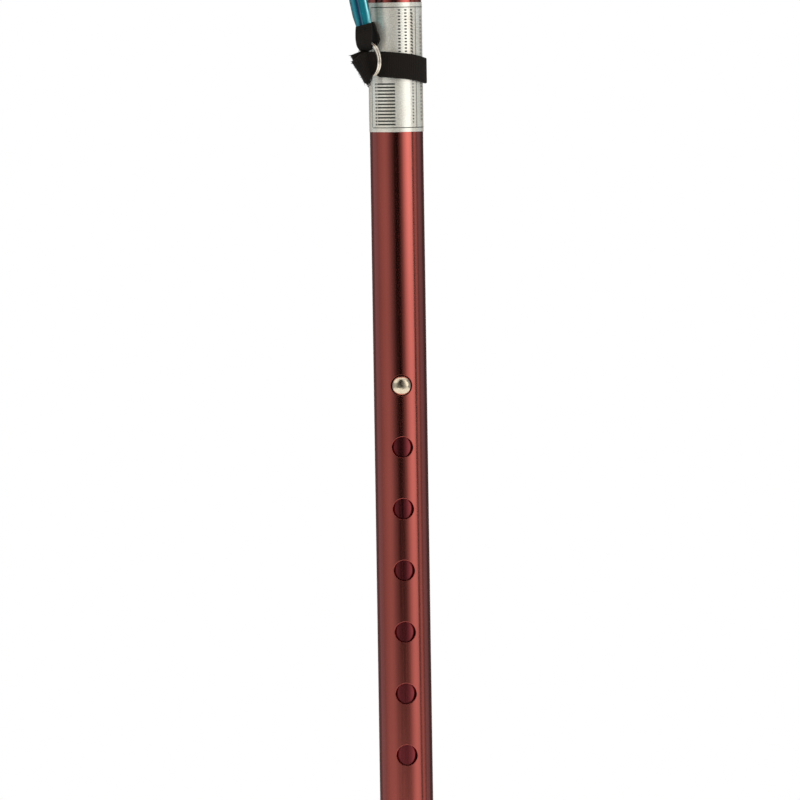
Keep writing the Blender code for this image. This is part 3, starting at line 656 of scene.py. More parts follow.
def traced(corners: Sequence[Point], closed: bool, arc_steps: int) -> tuple[Array, Array]:
    """Follows a turned outline round its fillets.

    Args:
        corners: Its corners as (radius, height, fillet).
        closed: Whether it makes a ring; an open one starts and ends on the axis.
        arc_steps: The steps of each fillet.

    Returns:
        The points as (radius, height), and their outward normals.
    """
    spots = np.array([corner[:2] for corner in corners], float)
    after = np.roll(spots, -1, axis=0)
    area = np.sum(spots[:, 0] * after[:, 1] - after[:, 0] * spots[:, 1])
    way = unit(after - spots)
    edge_normals = np.sign(area) * np.stack([way[:, 1], -way[:, 0]], axis=1)
    points, normals = [], []
    for number, (spot, (_, _, fillet)) in enumerate(zip(spots, corners)):
        before_normal, after_normal = edge_normals[number - 1], edge_normals[number]
        if not closed and number in (0, len(spots) - 1):
            normal = after_normal if number == 0 else before_normal
            points.append(spot)
            normals.append(np.array([0.0, math.copysign(1.0, normal[1])]))
            continue
        back, ahead = spots[number - 1] - spot, after[number] - spot
        to_back, to_ahead = unit(back), unit(ahead)
        angle = math.acos(max(-1.0, min(1.0, float(to_back @ to_ahead))))
        if fillet <= 0.0 or angle > math.radians(179.0):
            points.append(spot)
            normals.append(unit(before_normal + after_normal))
            continue
        reach = min(fillet / math.tan(angle / 2), 0.48 * np.linalg.norm(back), 0.48 * np.linalg.norm(ahead))
        bend = reach * math.tan(angle / 2)
        centre = spot + unit(to_back + to_ahead) * bend / math.sin(angle / 2)
        start, end = unit(spot + to_back * reach - centre), unit(spot + to_ahead * reach - centre)
        sign = 1.0 if start @ before_normal > 0.0 else -1.0
        sweep = math.acos(max(-1.0, min(1.0, float(start @ end))))
        for share in np.arange(arc_steps + 1) / arc_steps:
            outwards = math.sin((1.0 - share) * sweep) * start + math.sin(share * sweep) * end
            outwards /= math.sin(sweep)
            points.append(centre + outwards * bend)
            normals.append(sign * outwards)
    return np.array(points), np.array(normals)


def turned(
    name: str, corners: Sequence[Point], steps: int = 96, swell: Callable[[float], float] | None = None,
    closed: bool = True, arc_steps: int = 4
) -> Piece:
    """Turns an outline about Z.

    Args:
        name: The object's name.
        corners: The corners as (radius, height, fillet).
        steps: How many columns go round.
        swell: What is added to the outer half's radius at an angle in radians, if anything.
        closed: Whether the outline makes a ring; an open one starts and ends on the axis.
        arc_steps: The steps of each fillet.

    Returns:
        The turned object.
    """
    points, normals = traced(corners, closed, arc_steps)
    angles = np.arange(steps) * FULL_TURN / steps
    radii = np.repeat(points[:, :1], steps, axis=1)
    if swell is not None:
        middle = (points[:, 0].min() + points[:, 0].max()) / 2
        radii += np.where(points[:, :1] > middle, [swell(float(angle)) for angle in angles], 0.0)
    shell = Shell()
    rows = slice(None) if closed else slice(1, -1)
    facing = round_z(normals[:, :1], angles, normals[:, 1:])
    grid = shell.corners(round_z(radii, angles, points[:, 1:])[rows], facing[rows])
    shell.skin(grid, close_rows=closed, close_columns=True)
    if not closed:
        for end, row in ((0, grid[0][::-1]), (-1, grid[-1])):
            (pole,) = shell.corners([[0.0, 0.0, points[end, 1]]], [[0.0, 0.0, normals[end, 1]]])
            for first, second in zip(row, np.roll(row, -1)):
                shell.face((pole, first, second))
    return shell.build(name)


def lengths_along(points: Array, closed: bool = False) -> Array:
    """The distance of each point of a path from its start, with the closing one if it is closed."""
    steps = np.linalg.norm(np.diff(points, axis=0, append=points[:1] if closed else points[-1:]), axis=1)
    total = np.concatenate([[0.0], np.cumsum(steps)])
    return total if closed else total[:-1]


def smooth_line(points: Sequence[Sequence[float]], count: int) -> Array:
    """Points spaced evenly along a smooth curve through the given ones.

    Args:
        points: The points that the curve passes through.
        count: How many points are returned.

    Returns:
        The points.
    """
    keys = np.asarray(points, float)
    padded = np.vstack([keys[:1], keys, keys[-1:]])
    dense = []
    for before, start, end, after in zip(padded, padded[1:], padded[2:], padded[3:]):
        for t in np.arange(16) / 16:
            spot = 2 * start + (end - before) * t
            spot = spot + (2 * before - 5 * start + 4 * end - after) * t**2
            dense.append(0.5 * (spot + (3 * start - before - 3 * end + after) * t**3))
    dense = np.array([*dense, keys[-1]])
    travelled = lengths_along(dense)
    wanted = np.linspace(0.0, travelled[-1], count)
    return np.stack([np.interp(wanted, travelled, column) for column in dense.T], axis=1)


def rounded_section(
    width: float, thickness: float, fillet: float, arc_steps: int = 3, across: int = 4
) -> Array:
    """The outline of a strip's section, anticlockwise from its lower right.

    Args:
        width: The strip's width, along the first axis.
        thickness: Its thickness, along the second axis.
        fillet: The radius of its corners.
        arc_steps: The steps of each corner.
        across: The steps of each broad side.

    Returns:
        The outline's points.
    """
    half_width, half_thick = width / 2 - fillet, thickness / 2 - fillet
    points = []
    for quarter, (sx, sy) in enumerate(((1, 1), (-1, 1), (-1, -1), (1, -1))):
        for angle in (quarter + np.arange(arc_steps + 1) / arc_steps) * math.pi / 2:
            points.append(
                (sx * half_width + fillet * math.cos(angle), sy * half_thick + fillet * math.sin(angle))
            )
        for share in np.arange(1, across) / across if quarter in (0, 2) else ():
            points.append((sx * half_width * (1 - 2 * share), sy * (half_thick + fillet)))
    return np.array(points)


def pin(name: str, radius: float, low: float, high: float, steps: int) -> Piece:
    """A plain cylinder along Z, to cut with."""
    corners = ((0.0, low, 0.0), (radius, low, 0.0), (radius, high, 0.0), (0.0, high, 0.0))
    return turned(name, corners, steps, closed=False)


def swept(
    name: str, centres: Array, across: object, outward: object, sections: Array,
    closed: bool = False, crease: float = 50.0
) -> Piece:
    """Sweeps a section along a path.

    Args:
        name: The object's name.
        centres: The path's points.
        across: The direction of the section's first axis, one for all points or one for each.
        outward: The direction of its second axis, in the same way.
        sections: The section's outline, in the same way.
        closed: Whether the path is a ring.
        crease: The angle past which an edge is sharp, in degrees.

    Returns:
        The swept object, with a UV map in metres along and across it.
    """
    sections = np.broadcast_to(sections, (len(centres), *sections.shape[-2:]))
    across, outward = (np.broadcast_to(way, centres.shape)[:, None] for way in (across, outward))
    places = centres[:, None] + sections[:, :, :1] * across + sections[:, :, 1:] * outward
    along = lengths_along(centres, closed)
    rows = np.vstack([sections, sections[:1]]) if closed else sections
    side = np.hstack([rows[:, :, 0], rows[:, :1, 0]])
    uv = np.stack(np.broadcast_arrays(along[:, None], side), axis=2)
    shell = Shell()
    grid = shell.corners(places)
    shell.skin(grid, close_rows=closed, close_columns=True, uv=uv)
    if not closed:
        shell.face(grid[0][::-1], uv[0, :-1][::-1])
        shell.face(grid[-1], uv[-1, :-1])
    return shell.build(name, crease)


def cut(target: Piece, cutter: Piece, operation: str = "DIFFERENCE") -> None:
    """Applies a boolean to a mesh, and removes the other object.

    Args:
        target: The object that is changed.
        cutter: The object that cuts or joins it.
        operation: DIFFERENCE or UNION.
    """
    boolean = target.modifiers.new("cut", "BOOLEAN")
    boolean.operation = operation
    boolean.solver = "EXACT"
    boolean.object = cutter
    apply_modifiers(target)
    bpy.data.objects.remove(cutter, do_unlink=True)


def apply_modifiers(obj: Piece) -> None:
    """Turns an object with its modifiers into a plain mesh.

    Args:
        obj: The object.
    """
    bpy.context.view_layer.update()
    graph = bpy.context.evaluated_depsgraph_get()
    mesh = bpy.data.meshes.new_from_object(obj.evaluated_get(graph))
    obj.modifiers.clear()
    old = obj.data
    obj.data = mesh
    mesh.name = obj.name
    if old.users == 0:
        bpy.data.meshes.remove(old)


def place_mesh(obj: Piece, matrix: Matrix) -> Piece:
    """Moves an object's mesh, so that the object stays at the origin."""
    obj.data.transform(matrix)
    obj.data.update()
    return obj


def laid(obj: Piece, height: float, side: HoleSide) -> Piece:
    """Lays a piece's upright mesh down, so that it points to a side of the cane at a height."""
    turn = Matrix.Rotation(-side.value * math.pi / 2, 4, "X")
    return place_mesh(obj, Matrix.Translation((0.0, 0.0, height)) @ turn)


def joined(name: str, parts: Sequence[Piece]) -> Piece:
    """Joins meshes into one object.

    Args:
        name: The joined object's name.
        parts: The objects, which are removed.

    Returns:
        The joined object.
    """
    work = bmesh.new()
    for part in parts:
        work.from_mesh(part.data)
        bpy.data.objects.remove(part, do_unlink=True)
    mesh = bpy.data.meshes.new(name)
    work.to_mesh(mesh)
    work.free()
    mesh.shade_smooth()
    mesh.set_sharp_from_angle(angle=math.radians(40.0))
    return linked(name, mesh)


def dress(obj: Piece, finish: Finish, body: Body | None, stands_for: Sequence[str] = ()) -> Piece:
    """Gives a finished piece its material, its body and the CAD nodes that it stands for.

    Args:
        obj: The piece.
        finish: Its finish.
        body: The body that it rides on, or None, which attaches it to none.
        stands_for: The CAD nodes that it replaces.

    Returns:
        The piece.
    """
    obj.data.materials.clear()
    obj.data.materials.append(finish.material())
    if body is not None:
        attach(obj, body.value)
    if stands_for:
        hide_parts(*stands_for)
    LOG.info("%s: %d faces on %s", obj.name, len(obj.data.polygons), body.value if body else "two bodies")
    return obj


def dress_node(name: str, finish: Finish) -> None:
    """Gives a CAD node that stays in view a better material.

    Args:
        name: The node's name.
        finish: Its finish.
    """
    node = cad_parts[name]
    if not node.material_slots:
        node.data.materials.append(None)
    node.material_slots[0].material = finish.material()
    LOG.info("%s: the CAD node, in %s", name, finish.name)


# Geometry Nodes for what repeats


class NodeRecipe(NodeSheet):
    """A Geometry Nodes tree with named inputs, made once and used on several objects."""

    def __init__(self, name: str, **inputs: Sequence[str]) -> None:
        """Starts the tree, which has a Material input in any case.

        Args:
            name: The tree's name.
            **inputs: The names of its inputs of each socket type.
        """
        super().__init__(bpy.data.node_groups.new(name, "GeometryNodeTree"))
        interface = self.tree.interface
        interface.new_socket("Geometry", in_out="INPUT", socket_type="NodeSocketGeometry")
        self.sockets = {
            label: interface.new_socket(label, in_out="INPUT", socket_type=f"NodeSocket{kind}").identifier
            for kind, labels in {**inputs, "Material": ["Material"]}.items() for label in labels
        }
        interface.new_socket("Geometry", in_out="OUTPUT", socket_type="NodeSocketGeometry")
        self.start = self.node("NodeGroupInput")
        self.end = self.node("NodeGroupOutput")

    def __getitem__(self, label: str) -> Socket:
        """The group input of a name."""
        return self.start.outputs[label]

    def xyz(self, x: object = 0.0, y: object = 0.0, z: object = 0.0) -> Socket:
        """A vector of three sockets or numbers."""
        return self.add("ShaderNodeCombineXYZ", {0: x, 1: y, 2: z})

    def copies(self, points: Socket, instance: Socket, **links: object) -> Socket:
        """Copies of an instance on points, with more of the node's inputs by name."""
        return self.add("GeometryNodeInstanceOnPoints", {"Points": points, "Instance": instance, **links})

    def real(self, geometry: Socket) -> Socket:
        """The geometry, with its copies turned into real ones."""
        return self.add("GeometryNodeRealizeInstances", {"Geometry": geometry})

    def spots_along(self) -> Socket:
        """Points on the object's own edges, a pitch apart."""
        line = self.add("GeometryNodeMeshToCurve", {"Mesh": self["Geometry"]})
        return self.add("GeometryNodeResampleCurve", {"Curve": line, "Length": self["Pitch"]}, mode="LENGTH")

    def facing(self, way: Socket) -> Socket:
        """The rotation that turns Z along a vector."""
        return self.add("FunctionNodeAlignRotationToVector", {"Vector": way}, axis="Z")

    def finish(self, geometry: Socket) -> "NodeRecipe":
        """Ends the tree in Realize Instances and Set Material.

        Args:
            geometry: The geometry to put out.

        Returns:
            The recipe itself.
        """
        links = {"Geometry": self.real(geometry), "Material": self["Material"]}
        self.feed(self.add("GeometryNodeSetMaterial", links), self.end.inputs[0])
        return self

    def run(self, obj: Piece, values: dict[str, object]) -> Piece:
        """Runs the tree on an object, and keeps the result as a plain mesh.

        Args:
            obj: The object whose geometry goes in.
            values: A value for each named input.

        Returns:
            The same object.
        """
        modifier = obj.modifiers.new(self.tree.name, "NODES")
        modifier.node_group = self.tree
        for label, value in values.items():
            modifier[self.sockets[label]] = value
        apply_modifiers(obj)
        return obj


def ring_of_copies() -> NodeRecipe:
    """Copies of the object's own mesh, evenly round Z, each turned to face outwards.

    Returns:
        The recipe.
    """
    recipe = NodeRecipe("ring_of_copies", Int=["Count"])
    line = recipe.add("GeometryNodeMeshLine", {"Count": recipe["Count"], "Offset": (0.0, 0.0, 0.0)})
    share = recipe.calc("DIVIDE", recipe.add("GeometryNodeInputIndex"), recipe["Count"])
    turn = recipe.xyz(z=recipe.calc("MULTIPLY", share, FULL_TURN))
    return recipe.finish(recipe.copies(line, recipe["Geometry"], Rotation=turn))


def wrapped_rules() -> NodeRecipe:
    """Thin printed rules in rows and columns, bent round a tube.

    Returns:
        The recipe.
    """
    recipe = NodeRecipe(
        "wrapped_rules",
        Float=["Radius", "Turn", "Start Height", "Width", "Height", "Relief", "Column Pitch", "Row Pitch"],
        Int=["Columns", "Rows", "Steps"]
    )
    size = recipe.xyz(recipe["Width"], recipe["Relief"], recipe["Height"])
    bar = recipe.add("GeometryNodeMeshCube", {"Size": size, "Vertices X": recipe["Steps"]})
    column = {
        "Count": recipe["Rows"], "Offset": recipe.xyz(z=recipe["Row Pitch"]),
        "Start Location": recipe.xyz(z=recipe["Start Height"])
    }
    row = {"Count": recipe["Columns"], "Offset": recipe.xyz(recipe["Column Pitch"])}
    spots = recipe.copies(*(recipe.add("GeometryNodeMeshLine", links) for links in (row, column)))
    flat = recipe.real(recipe.copies(recipe.real(spots), bar))
    x, y, z = recipe.node("ShaderNodeSeparateXYZ", {0: recipe.add("GeometryNodeInputPosition")}).outputs
    radius = recipe.calc("SUBTRACT", recipe["Radius"], y)
    angle = recipe.calc("ADD", recipe.calc("DIVIDE", x, recipe["Radius"]), recipe["Turn"])
    across = recipe.calc("MULTIPLY", radius, recipe.calc("SINE", angle))
    ahead = recipe.calc("MULTIPLY", radius, recipe.calc("COSINE", angle))
    bent = recipe.xyz(across, recipe.calc("MULTIPLY", ahead, -1.0), z)
    return recipe.finish(recipe.add("GeometryNodeSetPosition", {"Geometry": flat, "Position": bent}))


def stitch_row() -> NodeRecipe:
    """Short stitches of thread along the object's own edges.

    Returns:
        The recipe.
    """
    recipe = NodeRecipe("stitch_row", Float=["Pitch", "Stitch", "Thread"])
    facing = recipe.facing(recipe.add("GeometryNodeInputTangent"))
    bead = recipe.add("GeometryNodeMeshUVSphere", {"Segments": 8, "Rings": 6, "Radius": 0.5})
    size = recipe.xyz(recipe["Thread"], recipe["Thread"], recipe["Stitch"])
    return recipe.finish(recipe.copies(recipe.spots_along(), bead, Rotation=facing, Scale=size))


def loose_threads() -> NodeRecipe:
    """Short curved thread ends that stand out of the object's own edges.

    Returns:
        The recipe.
    """
    recipe = NodeRecipe(
        "loose_threads", Float=["Pitch", "Length", "Thread"], Vector=["Heading"], Int=["Seed"]
    )
    stray = recipe.add(
        "FunctionNodeRandomValue", {0: (-0.7, -0.7, -0.7), 1: (0.7, 0.7, 0.7), "Seed": recipe["Seed"]},
        data_type="FLOAT_VECTOR"
    )
    way = recipe.add("ShaderNodeVectorMath", {0: recipe["Heading"], 1: stray}, operation="ADD")
    hair = recipe.add(
        "GeometryNodeCurvePrimitiveBezierSegment",
        {
            "Resolution": 6, "Start": (0.0, 0.0, -0.2), "Start Handle": (0.0, 0.0, 0.2),
            "End Handle": (0.25, 0.1, 0.7), "End": (0.3, 0.3, 1.0)
        }
    )
    share = recipe.calc("DIVIDE", recipe["Thread"], recipe["Length"])
    outline = recipe.add(
        "GeometryNodeCurvePrimitiveCircle", {"Resolution": 5, "Radius": share}, mode="RADIUS"
    )
    tube = recipe.add("GeometryNodeCurveToMesh", {"Curve": hair, "Profile Curve": outline, "Fill Caps": True})
    spread = recipe.add(
        "FunctionNodeRandomValue", {2: 0.35, 3: 1.0, "Seed": recipe["Seed"]}, 1, data_type="FLOAT"
    )
    length = recipe.calc("MULTIPLY", spread, recipe["Length"])
    return recipe.finish(recipe.copies(recipe.spots_along(), tube, Rotation=recipe.facing(way), Scale=length))


def edge_line(name: str, points: Array) -> Piece:
    """An object with a line of edges, for a recipe to follow."""
    mesh = bpy.data.meshes.new(name)
    mesh.from_pydata(points.tolist(), [(i, i + 1) for i in range(len(points) - 1)], [])
    return linked(name, mesh)


# Studio


COOL = (1.0, 1.22, 1.38)


def light_stops(
    light: Curve, low: float, high: float, tint: Colour = (1.0, 1.0, 1.0)
) -> list[tuple[float, Colour]]:
    """The stops of a ramp between two places, from the light at each place."""
    return [((place - low) / (high - low), scaled(tint, value)) for place, value in light]


@dataclass(frozen=True)
class Panel:
    """A curved panel round the cane, seen only in its glossy surfaces.

    Its sides, its fades and the places of its light across are in degrees to the right of the
    camera, and the light is scaled at the heights given.
    """

    name: str
    left: float
    right: float
    low: float
    high: float
    across: tuple[tuple[float, float], ...]
    upwards: tuple[tuple[float, float], ...] = ((0.0, 1.0),)
    tint: Colour = (1.0, 1.0, 1.0)
    fade_left: float = 0.0
    fade_right: float = 0.0
    radius: float = 1.0

    def material(self, turn: float) -> bpy.types.Material:
        """A material that glows as the panel's light says, and fades out at its sides.

        Args:
            turn: The camera's turn about Z in degrees.

        Returns:
            The material.
        """
        tree = ShaderTree(self.name)
        x, y, z = tree.split(tree.place())
        bearing = tree.calc("ARCTAN2", x, tree.calc("MULTIPLY", y, -1.0))
        angle = tree.calc("SUBTRACT", tree.calc("MULTIPLY", bearing, 180.0 / math.pi), turn)
        side = light_stops(self.across, self.left, self.right, self.tint)
        rise = light_stops(self.upwards, self.low, self.high)
        glow = {
            "Color": tree.ramp(tree.span(angle, self.left, self.right), side),
            "Strength": tree.ramp(tree.span(z, self.low, self.high), rise)
        }
        shown = tree.add("ShaderNodeEmission", glow)
        for edge, fade in ((self.left, self.fade_left), (self.right, -self.fade_right)):
            if fade:
                blend = {
                    0: tree.span(angle, edge, edge + fade), 1: tree.add("ShaderNodeBsdfTransparent"), 2: shown
                }
                shown = tree.add("ShaderNodeMixShader", blend)
        tree.show(shown)
        return tree.material


@dataclass
class Studio:
    """The camera, the floor, the lamps and the panels that the metal reflects."""

    distance: float = 3.0
    height: float = 0.504
    aside: float = -0.24 * MM
    turn: float = -2.6
    pitch: float = 3.112
    roll: float = -0.874
    lens: float = 328.16
    sensor: float = 36.0
    floor_radius: float = 14.0
    ambient: float = 0.58
    lamps: tuple[tuple[str, Point, float, float], ...] = (
        ("key_lamp", (1.5, -1.6, 1.8), 1.2, 26.0), ("fill_lamp", (-1.8, -1.0, 1.4), 1.6, 18.0),
        ("back_lamp", (0.4, 1.9, 1.7), 1.4, 16.0)
    )
    lamp_aim: float = 0.36
    far_clip: float = 60.0

    def make_camera(self) -> None:
        """Sets the camera at the photograph's viewing angle."""
        data = bpy.data.cameras.new("photo_camera")
        data.lens = self.lens
        data.sensor_width = self.sensor
        data.clip_end = self.far_clip
        camera = linked("photo_camera", data)
        turn, pitch, roll = (math.radians(angle) for angle in (self.turn, 90.0 - self.pitch, self.roll))
        heading = Matrix.Rotation(turn, 4, "Z")
        spot = heading @ Vector((self.aside, -self.distance, self.height))
        aim = heading @ Matrix.Rotation(pitch, 4, "X") @ Matrix.Rotation(roll, 4, "Z")
        camera.matrix_world = Matrix.Translation(spot) @ aim
        bpy.context.scene.camera = camera

    def panels(self) -> tuple[Panel, ...]:
        """The panels, from the left of the camera to its right."""
        return (
            Panel("left_flag", -165, -126, 0.0, 1.2, ((-165, 0.08), (-126, 0.16))),
            Panel("left_wall", -126, -96, 0.0, 0.72, ((-126, 0.30), (-96, 0.29)), tint=COOL),
            Panel(
                "left_card", -96, -8, 0.0, 0.72,
                ((-96, 0.28), (-74, 0.40), (-54, 0.46), (-42, 0.39), (-8, 0.26)), fade_right=33.0
            ),
            Panel("left_softbox", -126, -20, 0.72, 1.9, ((-126, 1.0), (-20, 1.05)), fade_right=14.0),
            Panel(
                "camera_card", -60, 60, 0.0, 2.2, ((-60, 1.0), (60, 1.0)),
                ((0.0, 0.30), (0.08, 0.20), (0.18, 0.04), (0.28, 0.008), (0.42, 0.015), (2.2, 0.02)),
                radius=1.05
            ),
            Panel(
                "right_softbox", 6, 67, 0.0, 1.9,
                ((6, 0.25), (22, 0.38), (31, 0.62), (40, 0.92), (49, 1.08), (58, 1.02), (67, 0.90)),
                ((0.0, 0.72), (0.08, 0.72), (0.18, 0.80), (0.325, 1.08), (0.42, 1.35), (1.9, 1.2)),
                fade_left=22.0
            ),
            Panel("softbox_edge", 67, 76, 0.0, 1.9, ((67, 0.12), (76, 0.12))),
            Panel("right_return", 76, 89, 0.0, 1.9, ((76, 0.46), (89, 0.50))),
            Panel("right_gap", 89, 100, 0.0, 1.9, ((89, 0.22), (100, 0.22))),
            Panel("right_wall", 100, 126, 0.0, 1.2, ((100, 0.30), (126, 0.18)), tint=COOL),
            Panel("right_flag", 126, 165, 0.0, 1.2, ((126, 0.09), (165, 0.08)))
        )

    def make_panel(self, panel: Panel) -> Piece:
        """Bends one panel round the cane.

        Args:
            panel: The panel.

        Returns:
            The panel's object, which only glossy surfaces see.
        """
        steps = max(2, round((panel.right - panel.left) / 3))
        angles = np.radians(np.linspace(panel.left, panel.right, steps + 1) + self.turn) - math.pi / 2
        heights = np.linspace(panel.low, panel.high, 5)[:, None]
        shell = Shell()
        shell.skin(shell.corners(round_z(panel.radius, angles, heights)))
        obj = shell.build(panel.name, crease=180.0)
        obj.data.materials.append(panel.material(self.turn))
        obj.visible_camera = obj.visible_diffuse = obj.visible_shadow = obj.visible_transmission = False
        return obj

    def make_floor(self) -> None:
        """Lays the pale floor, which keeps the cane's shadow near the tip and is white further off."""
        tree = ShaderTree("pale_floor")
        white = tree.calc("MULTIPLY", tree.span(tree.from_axis(), 0.30, 0.85), tree.looked_at())
        tree.shade(Base_Color=(0.92, 0.92, 0.92), Roughness=0.9, Specular_IOR_Level=0.1)
        glow = tree.add("ShaderNodeEmission")
        tree.show(tree.add("ShaderNodeMixShader", {0: white, 1: tree.shader.outputs[0], 2: glow}))
        shell = Shell()
        radii = np.array([[self.floor_radius], [1.0], [0.2]])
        grid = shell.corners(round_z(radii, np.arange(64) * FULL_TURN / 64, 0.0))
        shell.skin(grid, close_columns=True)
        shell.face(grid[-1])
        floor = shell.build("floor", crease=180.0)
        floor.data.materials.append(tree.material)
        # the tip stands on it at every height
        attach(floor, Body.LOWER.value)

    def make_world(self) -> None:
        """Gives plain white surroundings to the camera, and a soft level of light to the cane."""
        world = bpy.data.worlds.new("white_room")
        world.use_nodes = True
        bpy.context.scene.world = world
        sheet = NodeSheet(world.node_tree)
        level = {"Value": sheet.looked_at(), "To Min": self.ambient, "To Max": 1.0}
        background = sheet.tree.nodes["Background"].inputs
        sheet.feed((1.0, 1.0, 1.0), background["Color"])
        sheet.feed(sheet.add("ShaderNodeMapRange", level), background["Strength"])

    def make_lamp(self, name: str, place: Point, size: float, power: float) -> None:
        """Hangs a soft square lamp that looks at the cane's middle.

        Args:
            name: The lamp's name.
            place: Where it hangs.
            size: Its side.
            power: Its power in watts.
        """
        data = bpy.data.lights.new(name, "AREA")
        data.size = size
        data.energy = power
        lamp = linked(name, data)
        spot = Vector(place)
        aim = (Vector((0.0, 0.0, self.lamp_aim)) - spot).to_track_quat("-Z", "Y")
        lamp.matrix_world = Matrix.Translation(spot) @ aim.to_matrix().to_4x4()
        lamp.visible_glossy = lamp.visible_camera = False

    def build(self) -> None:
        """Makes the whole studio."""
        self.make_camera()
        self.make_world()
        self.make_floor()
        for panel in self.panels():
            self.make_panel(panel)
        for lamp in self.lamps:
            self.make_lamp(*lamp)
        bpy.context.scene.view_settings.view_transform = "Standard"


# The shaft


@dataclass(frozen=True)
class DrilledHole:
    """A round hole through one wall of a tube."""

    height: float
    radius: float
    side: HoleSide


@dataclass
class DrilledTube:
    """A tube with round holes, each with a broken edge, in a mesh that shades as true cylinders."""

    name: str
    outer: float
    inner: float
    bottom: float
    top: float
    holes: tuple[DrilledHole, ...]
    columns: int = 96
    patch_rows: int = 24
    patch_rings: tuple[float, ...] = (0.25, 0.6)
    broken_edge: float = 0.25 * MM

    def __post_init__(self) -> None:
        """Works out the columns' angles, half the height of a hole's patch, and the rows' heights."""
        self.angles = -math.pi / 2 + np.arange(self.columns) * FULL_TURN / self.columns
        self.eighth = self.columns // 8
        self.reach = self.outer * math.pi / 4
        rows = [self.bottom + self.broken_edge, self.top - self.broken_edge]
        for hole in self.holes:
            rows += list(np.linspace(hole.height - self.reach, hole.height + self.reach, self.patch_rows + 1))
        self.rows = np.array(sorted(rows))

    def middle(self, hole: DrilledHole) -> int:
        """The column that passes through a hole's centre."""
        return 0 if hole.side is HoleSide.FRONT else self.columns // 2

    def on_skin(self, radius: float, sign: float, angles: Array, heights: Array) -> tuple:
        """Points on a cylinder, and the normals of its outer (1) or inner (-1) skin."""
        return round_z(radius, angles, heights), round_z(sign, angles, 0.0 * heights)

    def bore(self, hole: DrilledHole, drill: float, radius: float, around: Array) -> tuple:
        """The ring where a drill meets a cylinder.

        Args:
            hole: The hole.
            drill: The drill's radius.
            radius: The cylinder's radius.
            around: The angles about the hole's own axis.

        Returns:
            The ring's angles about Z, its heights, and the normals of the hole's wall.
        """
        side = hole.side.value
        angles = side * math.pi / 2 + np.arcsin(drill * np.cos(around) / radius)
        walls = np.stack([side * np.cos(around), np.zeros_like(around), -np.sin(around)], axis=-1)
        return angles, hole.height + drill * np.sin(around), walls

    def drill(self, shell: Shell, hole: DrilledHole, skins: Sequence[Array]) -> None:
        """Fills the patch round one hole on both skins, and joins them by the hole's wall.

        Args:
            shell: The mesh in the making.
            hole: The hole.
            skins: The grids of corner numbers of the outer and the inner skin.
        """
        first, last = (
            int(np.argmin(np.abs(self.rows - (hole.height + way * self.reach)))) for way in (-1.0, 1.0)
        )
        loop = [(first, k) for k in range(-self.eighth, self.eighth)]
        loop += [(i, self.eighth) for i in range(first, last)]
        loop += [(last, k) for k in range(self.eighth, -self.eighth, -1)]
        loop += [(i, -self.eighth) for i in range(last, first, -1)]
        row, offset = np.array(loop).T
        base = hole.side.value * math.pi / 2
        edge_angles = base + offset * FULL_TURN / self.columns
        edge_heights = self.rows[row]
        around = np.arctan2(edge_heights - hole.height, self.outer * (edge_angles - base))
        walls = []
        for skin, radius, sign in zip(skins, (self.outer, self.inner), (1.0, -1.0)):
            angles, heights, _ = self.bore(hole, hole.radius + self.broken_edge, radius, around)
            rings = []
            for share in (0.0, *self.patch_rings):
                mixed = (angles + (edge_angles - angles) * share, heights + (edge_heights - heights) * share)
                rings.append(shell.corners(*self.on_skin(radius, sign, *mixed)))
            edge = skin[row, (self.middle(hole) + offset) % self.columns]
            shell.skin(np.array([*rings, edge]), close_columns=True)
            inset = radius - sign * self.broken_edge
            angles, heights, facing = self.bore(hole, hole.radius, inset, around)
            walls += [rings[0], shell.corners(round_z(inset, angles, heights), facing)]
        shell.skin(np.array([walls[0], walls[1], walls[3], walls[2]]), close_columns=True)

    def build(self) -> Piece:
        """Makes the tube.

        Returns:
            The tube's object.
        """
        shell = Shell()
        skins = [
            shell.corners(*self.on_skin(radius, sign, self.angles, self.rows[:, None]))
            for radius, sign in ((self.outer, 1.0), (self.inner, -1.0))
        ]
        free = np.ones((len(self.rows) - 1, self.columns), bool)
        middles = (self.rows[1:] + self.rows[:-1]) / 2
        for hole in self.holes:
            columns = (self.middle(hole) + np.arange(-self.eighth, self.eighth)) % self.columns
            free[np.ix_(np.abs(middles - hole.height) < self.reach, columns)] = False
            self.drill(shell, hole, skins)
        for i, j in np.argwhere(free):
            right = (j + 1) % self.columns
            for skin, way in zip(skins, (1, -1)):
                shell.face((skin[i, j], skin[i, right], skin[i + 1, right], skin[i + 1, j])[::way])
        for row, height, upright in ((0, self.bottom, -1.0), (-1, self.top, 1.0)):
            facing = np.tile((0.0, 0.0, upright), (self.columns, 1))
            rims = [
                shell.corners(round_z(radius, self.angles, height), facing)
                for radius in (self.outer - self.broken_edge, self.inner + self.broken_edge)
            ]
            shell.skin(np.array([skins[0][row], *rims, skins[1][row]]), close_columns=True)
        return shell.build(self.name)


@dataclass(frozen=True)
class RuleBlock:
    """Printed rules in rows and columns; its turn is in degrees and its sizes in millimetres."""

    name: str
    turn: float
    start: float
    width: float
    height: float
    columns: int = 1
    column_pitch: float = 0.0
    rows: int = 1
    row_pitch: float = 0.0
    steps: int = 2


